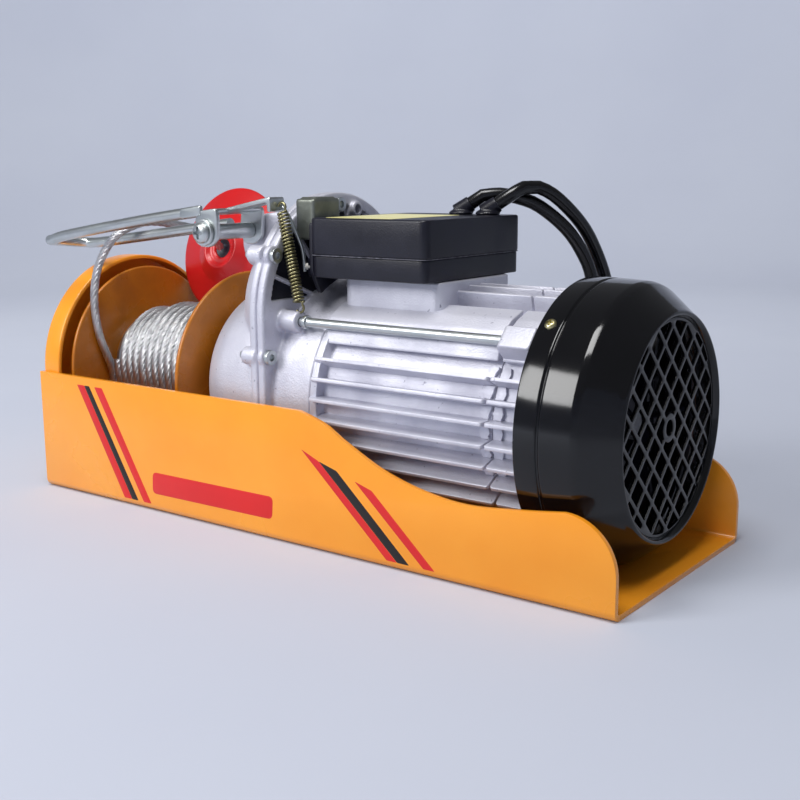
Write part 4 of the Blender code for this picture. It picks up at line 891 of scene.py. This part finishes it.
def rear_end_shield():
    body = lathe(eased([
        (340.3, 52), (340.3, FIN_ROOT), (362, FIN_ROOT), (362, 52), (357, 51), (361, 22), (361, 16.3),
        (350, 16.3), (350, 52),
    ], 0.5), steps=120)
    blade = eased([
        (341.2, FIN_FOOT), (341.2, 65.8), (342, FIN_TIP), (359, FIN_TIP), (361.9, 64), (361.9, FIN_FOOT),
    ], 0.8)
    fins = [fin(blade, angle) for angle in FIN_ANGLES]
    rod_angle = math.degrees(math.atan2(TIE_RODS[1][1] - AXIS_Z, TIE_RODS[1][0]))
    land = eased([(342, 56), (342, 70), (344, 73), (361.8, 73), (361.8, 56)], 1.5)
    lands = [slab([land], -6.5, 6.5, across_at(angle), 1.2) for angle in (rod_angle, 180 - rod_angle)]
    whole = fused(body, joined(*fins), *lands, *shoulder(342, 361))
    whole = cut(whole, *rods(TIE_RODS, 330, 352, 2.9, 24))
    return show("fan_side_shield", "main", whole, "cast_aluminium", "rear_end_shield")


def joint_flash():
    """Torn casting skin left along the joint of housing and shield, between the fins."""
    chance = random.Random(7)
    scraps = []
    for angle in FIN_ANGLES:
        for edge, way in ((339.8, -1), (341.4, 1)):
            ragged = [(edge + way * chance.uniform(-0.5, 1.2), -3.4 + 1.7 * k) for k in range(5)]
            flat = ragged + [(edge + way * 5, 3.4), (edge + way * 6, 0), (edge + way * 5, -3.4)]
            middle = across_at(angle + 5) @ Matrix.Rotation(-math.pi / 2, 4, "X")
            proud = 1.4 + chance.uniform(0, 0.9)
            scraps.append(slab([flat], -FIN_ROOT - proud, -FIN_ROOT + 0.9, middle, 0.2))
    return show("torn_joint_skin", "main", joined(*scraps), "cast_aluminium")


def tie_rods():
    for number, (y, z) in enumerate(TIE_RODS, 1):
        profile = [
            (203, 0), (203, 2.6), (212, 2.6), (212, 3.9), (214.5, 3.9), (214.5, 2.6), (350, 2.6), (350, 0),
        ]
        bar = turned(profile, 0.4, line_at(y, z), 32)
        show(f"long_tie_rod_{number}", "main", bar, "zinc_plate", f"tie_rod_{number}")


GRILLE_CELL, GRILLE_BAR = 12.4, 2.3


def grille_holes(limit, hub):
    """Diamond holes of the pressed grille, trimmed to its ring and to the hub."""
    holes, half = [], (GRILLE_CELL - GRILLE_BAR) / 2
    reach = int(limit / GRILLE_CELL) + 2
    for row in range(-reach, reach):
        for column in range(-reach, reach):
            u, v = (column + 0.5) * GRILLE_CELL, (row + 0.5) * GRILLE_CELL
            square = eased(rectangle((u - half, v - half), (u + half, v + half)), 1.2, count=3)
            ends = list(zip(square, square[1:] + square[:1]))
            fine = [
                (a[0] + (b[0] - a[0]) * k / 4, a[1] + (b[1] - a[1]) * k / 4)
                for a, b in ends for k in range(4)
            ]
            kept = []
            for a, b in fine:
                far = math.hypot(a, b)
                pull = min(limit, max(hub, far)) / far
                y, z = (a - b) * math.sqrt(0.5) * pull, (a + b) * math.sqrt(0.5) * pull
                if not kept or math.hypot(y - kept[-1][0], z - kept[-1][1]) > 0.15:
                    kept.append((y, AXIS_Z + z))
            area = sum(p[0] * q[1] - q[0] * p[1] for p, q in zip(kept, kept[1:] + kept[:1])) / 2
            if abs(area) > 14:
                holes.append(kept)
    return holes


def fan_cover():
    shell = lathe(eased([
        (362.3, 72.2), (362.3, 74), (374.6, 74), (375, 73.1), (376, 73.1), (376.4, 73.9), (393, 73.2), (396, 72),
        (409.4, 61.4), (412.4, 59.4), (413, 58.4), (412.6, 57.2), (410.6, 56.2), (408.6, 55.6), (408.6, 54.6),
        (407.6, 54.6), (407.6, 58), (395, 69), (391, 71.4), (376, 71.6),
    ], 0.9), steps=144)
    rim, hub = arc((0, AXIS_Z), 56, 0, 357.5, 143), arc((0, AXIS_Z), 4.2, 0, 345, 23)
    grille = slab([rim, *grille_holes(54.4, 7.5), hub], 408.2, 410.2, END_VIEW, 0.35)
    return show("pressed_fan_cover", "main", joined(shell, grille), "black_gloss_paint", "fan_cover")


def cross_screw(where, radius, height):
    """Pan head with a cross recess, standing on a line that points outward."""
    head = turned([
        (-2, 0), (-2, radius * 0.6), (0, radius * 0.6), (0, radius), (height * 0.55, radius * 0.95),
        (height, radius * 0.55), (height, 0),
    ], radius * 0.2, where, 40)
    wing, sink = radius * 0.58, height * 0.35
    slots = []
    for wide, tall in ((wing, wing * 0.26), (wing * 0.26, wing)):
        recess = slab([rectangle((-wide, -tall), (wide, tall))], sink, height + 1, STANDING)
        recess.transform(where)
        slots.append(recess)
    return cut(head, *slots)


def cover_screws():
    heads = []
    for angle in (132, 48, 228, 312):
        out = Vector((0, math.cos(math.radians(angle)), math.sin(math.radians(angle))))
        heads.append(cross_screw(axis_at(place(368.5, 0, AXIS_Z) + out * 73.6 * MM, out), 3.2, 1.9))
    return show("cover_screws", "main", joined(*heads), "yellow_zinc", material=BRASS)


# Terminal box and limit switch
def terminal_box():
    low, high, wall, seam = (213, -47.5), (293, 47.5), 2.5, 160
    inset = [(low[0] + 0.6, low[1] + 0.6), (high[0] - 0.6, high[1] - 0.6)]
    inner = [(low[0] + wall, low[1] + wall), (high[0] - wall, high[1] - wall)]
    tray = cut(slab([eased(rectangle(*inset), 4.5)], 148, seam, PLAN_VIEW, 0.8),
               slab([eased(rectangle(*inner), 3)], 148 + wall, seam + 5, PLAN_VIEW))
    lid = cut(slab([eased(rectangle(low, high), 5)], seam + 0.3, BOX_TOP_Z, PLAN_VIEW, 1.3),
              slab([eased(rectangle(*inner), 3)], seam - 5, BOX_TOP_Z - wall, PLAN_VIEW),
              *[rod(-8, 8, 6.2, axis_at(place(x, GLAND_Y, BOX_TOP_Z), UP), 40, 0.1)
                for x in GLAND_STATIONS.values()])
    patch = eased(rectangle((221, -43), (268, 22)), 2)
    film = slab([patch], BOX_TOP_Z - 0.05, BOX_TOP_Z + 0.15, PLAN_VIEW, 0.04)
    show("box_tray", "main", tray, "black_plastic", "terminal_box")
    show("box_cover", "main", lid, "black_plastic", "terminal_box_lid")
    show("lid_film", "main", film, "white_nylon", material=YELLOW_FILM)
    rims = [
        eased(rectangle((low[0] - grow, low[1] - grow), (high[0] + grow, high[1] + grow)), 5)
        for grow in (0.1, -1.6)
    ]
    flash = slab(rims, seam + 0.1, seam + 0.6, PLAN_VIEW, 0.1)
    show("lid_seam_flash", "main", flash, "black_plastic", material=SCUFFED_NYLON)


def limit_switch():
    body = block((194.3, -38, 168), (209, -14, 191), 1.2, 3)
    ridge = block((196, -35, 189), (207.5, -17, 192), 0.6, 2)
    show("switch_block", "main", cast(0.6, 3, body, ridge), "cast_aluminium", "limit_switch",
         material=DIE_CAST_ZINC, sharp=60)
    outline = [(-44, 150.5), *arc((0, AXIS_Z), 70.5, 122, 58, 16), (40, 150.5), (40, 178), (-44, 178)]
    plate = slab([eased(outline, 1.5)], 210, 212.7, END_VIEW, 0.6)
    step = slab([eased([(-40, 147.5), (36, 147.5), (36, 158), (-40, 158)], 1.5)], 205, 212, END_VIEW, 0.8)
    neck = cut(fused(plate, step), rod(200, 211, 2.2, line_at(-38, 153), 32, 0.1))
    show("wiring_moulding", "main", neck, "black_plastic", "wiring_neck")
    plunger = rod(202.6, 209.5, 1.9, line_at(-38, 153), 32, 0.7)
    show("nylon_plunger", "switch_plunger", plunger, "white_nylon", "switch_plunger")


# Rope limit lever
PIVOT = (150, 172)


def from_pivot(x, y, z):
    return place(PIVOT[0] + x, y, PIVOT[1] + z)


def lever_sheet(outline, low, high, rounding=0.5):
    placed = [(PIVOT[0] + x, PIVOT[1] + z) for x, z in outline]
    return slab([eased(placed, 2.2)], low, high, SIDE_VIEW, rounding)


def limit_lever():
    ear = [(-9, -2), (-5, -8), (3, -8.5), (9, -4), (10, 8), (9, 14), (-7, 12)]
    ears = [lever_sheet(ear, -66, -63.2), lever_sheet(ear, -28.8, -26)]
    web = lever_sheet([(-7, 9.2), (9, 11.2), (9, 14), (-7, 12)], -65, -27)
    arm = lever_sheet([(6, 11), (39.5, 17.5), (39.5, 12), (42.1, 12), (42.1, 20.6), (6, 13.6)], -56, -44)
    hole = rod(-75, -20, 2.7, axis_at(from_pivot(0, 0, 0), (0, 1, 0)), 32, 0.1)
    folded = cut(fused(*ears, web, arm), hole)
    show("folded_lever_bracket", "limit_lever", folded, "zinc_plate", "limit_lever_bracket")
    finger = [(33, -46, 17.5), (42, -45, 14), (47.5, -42.5, 3), (50.6, -39, -10), (51.2, -38, -22)]
    wire = smooth_path([from_pivot(*point) for point in finger], 1.5 * MM)
    show("switch_wire", "limit_lever", sweep(wire, round_section(1.1, 14)), "zinc_plate", sharp=60)
    outer, inner = -62.2, -31
    middle, half = (outer + inner) / 2, (inner - outer) / 2
    bend = []
    for i in range(13):
        turn = math.pi * i / 12
        across, rise = middle - half * math.cos(turn), 1.6 * math.cos(turn)
        bend.append(place(3 - 8 * math.sin(turn), across, 161.7 + rise))
    path = [from_pivot(-8.4, outer, 11.9), place(90, outer, 177.4), place(20, outer, 167.2)]
    path += bend + [place(20, inner, 161.5), place(90, inner, 170), from_pivot(-14, inner, 3.6)]
    bent = sweep(smooth_path(path, 2.5 * MM), round_section(3.38, 28))
    tab = lever_sheet([(-20, 7.4), (-3.5, 9.2), (-2.5, 15.6), (-20, 13.2)], -66.8, -64, 0.9)
    show("bent_rod_loop", "limit_lever", fused(bent, tab), "zinc_plate", "limit_lever_loop", sharp=60)
    line = axis_at(from_pivot(0, 0, 0), (0, 1, 0))
    shank = rod(-69, -17, 2.5, line, 32, 0.3)
    head = cross_screw(axis_at(from_pivot(0, -68.4, 0), (0, -1, 0)), 6.3, 3.6)
    washer = lathe(eased([(-68.4, 2.6), (-68.4, 7.6), (-66.3, 7.6), (-66.3, 2.6)], 0.5), line, 56)
    sleeve = lathe(eased([(-62.9, 2.7), (-62.9, 4.6), (-29.1, 4.6), (-29.1, 2.7)], 0.4), line, 48)
    show("pivot_cross_screw", "main", joined(fused(shank, head), washer), "zinc_plate", "lever_pivot_screw")
    show("pivot_sleeve", "limit_lever", sleeve, "zinc_plate")


SPRING_TOP, SPRING_FOOT = place(195.5, -50, 187), place(208.5, -51, 130.4)


def lever_spring():
    """Close-wound extension spring, hooked over the lever's arm and on the tie-rod socket."""
    along = (SPRING_FOOT - SPRING_TOP).normalized()
    side = along.cross(Vector((0, 1, 0))).normalized()
    front = along.cross(side)
    lead, curls, steps = 3.4 * MM, 27, 20
    length = (SPRING_FOOT - SPRING_TOP).length - 2 * lead
    points = []
    for i in range(curls * steps + 1):
        turn = math.tau * i / steps
        around = side * math.cos(turn) + front * math.sin(turn)
        points.append(SPRING_TOP + along * (lead + length * i / (curls * steps)) + 2.8 * MM * around)
    hooks = []
    for end, way in ((SPRING_TOP, 1), (SPRING_FOOT, -1)):
        eye = [end + along * way * (0.4 - 2.6 * math.sin(t)) * MM + side * 2.8 * MM * math.cos(t)
               for t in [math.radians(20 * k - 40) for k in range(11)]]
        hooks.append(eye)
    path = [*reversed(hooks[0]), *points, *hooks[1]]
    coil = sweep(smooth_path(path, 0.75 * MM), round_section(0.7, 10))
    piece = show("wound_lever_spring", "main", coil, "yellow_zinc", "lever_spring", sharp=80)
    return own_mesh(piece)


# Weight and hook at the rope's end
WEIGHT_CENTRE = place(61.7, 33.9, 155)
WEIGHT_FACE = Vector((0.02, -0.966, 0.258)).normalized()
HOOK_DOWN = Vector((0.10, 0.46, -0.88)).normalized()
HOOK_SIDE = HOOK_DOWN.cross(Vector((0, 1, 0))).normalized()
HOOK_TOP = WEIGHT_CENTRE - 9 * MM * WEIGHT_FACE


def limit_weight():
    disc = lathe(eased([
        (0, 6.5), (0, 11), (3, 13.5), (-3.5, 24), (-9, 44.5), (-12, 44.5), (-7.5, 24), (-4, 11.5), (-6, 6.5),
    ], 1.8), axis_at(WEIGHT_CENTRE, WEIGHT_FACE), 112)
    bush = turned([(-5.6, 0), (-5.6, 6.3), (-1.2, 6.3), (-2.4, 3.4), (-2.4, 0)], 0.4,
                  axis_at(WEIGHT_CENTRE, WEIGHT_FACE), 40)
    show("red_limit_weight", "main", disc, "red_paint", "limit_weight", sharp=50)
    show("weight_bush", "main", bush, "black_plastic")


def hook_point(down, side):
    return HOOK_TOP + HOOK_DOWN * down * MM + HOOK_SIDE * side * MM


def hook():
    """Forged hook that tapers to its tip, with a sprung tongue across its mouth."""
    bowl = [hook_point(*spot) for spot in arc((50, 0), 15, -110, 100, 7)]
    path = [hook_point(8, 0), hook_point(20, 0), hook_point(32, -7), *bowl]
    sizes = [0.9, 0.9, 1, 1.05, 1.15, 1.2, 1.2, 1.1, 1, 0.85, 0.6]
    fine = smooth_path(path, 1.5 * MM)
    reach = [length_of(path[:i + 1]) / length_of(path) for i in range(len(path))]
    spread = []
    for i in range(len(fine)):
        share = length_of(fine[:i + 1]) / length_of(fine)
        k = max(j for j in range(len(reach) - 1) if reach[j] <= share + 1e-9)
        part = min(1, (share - reach[k]) / (reach[k + 1] - reach[k]))
        tip = min(1, (1 - share) / 0.025 + 0.25)
        spread.append((sizes[k] + (sizes[k + 1] - sizes[k]) * part) * tip ** 0.5)
    show("forged_hook", "hook", sweep(fine, round_section(5, 28), sizes=spread), "steel", "hook", sharp=60)
    turn = Matrix((HOOK_SIDE, HOOK_DOWN.cross(HOOK_SIDE), HOOK_DOWN)).transposed().to_4x4()
    seat = Matrix.Translation(hook_point(24, 4.6)) @ turn @ Matrix.Rotation(math.radians(18), 4, "Y")
    flat = slab([eased([(-3.5, 0), (3.5, 0), (3.0, 18), (-3.0, 18)], 1.2)], -0.4, 0.6, STANDING, 0.2)
    rib = eased([(-1.2, 0.4), (0.4, 0.4), (0.4, 15), (-0.6, 15)], 0.3)
    ribs = [slab([rib], low, low + 0.9, EDGEWISE, 0.2) for low in (-3.5, 2.6)]
    tongue = fused(flat, *ribs)
    tongue.transform(seat)
    show("hook_tongue", "hook_latch", tongue, "zinc_plate", "hook_latch")


# Inside the cases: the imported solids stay, with the metals they are made of
INNER_FINISHES = {
    "steel": ["drum_shaft", "drum_gear", "layshaft", "layshaft_wheel", "motor_shaft", "rotor_core", "stator_core",
              "drum_end_bearing", "drum_bearing", "layshaft_front_bearing", "layshaft_rear_bearing",
              "motor_front_bearing", "motor_rear_bearing"],
    "copper_winding": ["stator_winding_front", "stator_winding_rear"],
    "black_plastic": ["cooling_fan"],
    "white_nylon": ["run_capacitor"],
}


def inner_pieces():
    for slot, names in INNER_FINISHES.items():
        for name in names:
            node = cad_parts[name]
            node.data.materials.clear()
            node.data.materials.append(FINISHES[slot])


studio()
free_rope()
cable("pendant", "medium", "tool", handset(), coil_tie("pendant"))
cable("mains", "medium", "plug", *power_plug(), coil_tie("mains"))
for lead in GLAND_STATIONS:
    cable_gland(lead)
frame_channel()
wall_films()
drum_end_plate()
rope_drum()
drum_rope()
gear_case_front()
gear_case_rear()
case_bolts()
motor_housing()
rear_end_shield()
joint_flash()
tie_rods()
fan_cover()
cover_screws()
terminal_box()
limit_switch()
limit_lever()
lever_spring()
limit_weight()
hook()
inner_pieces()
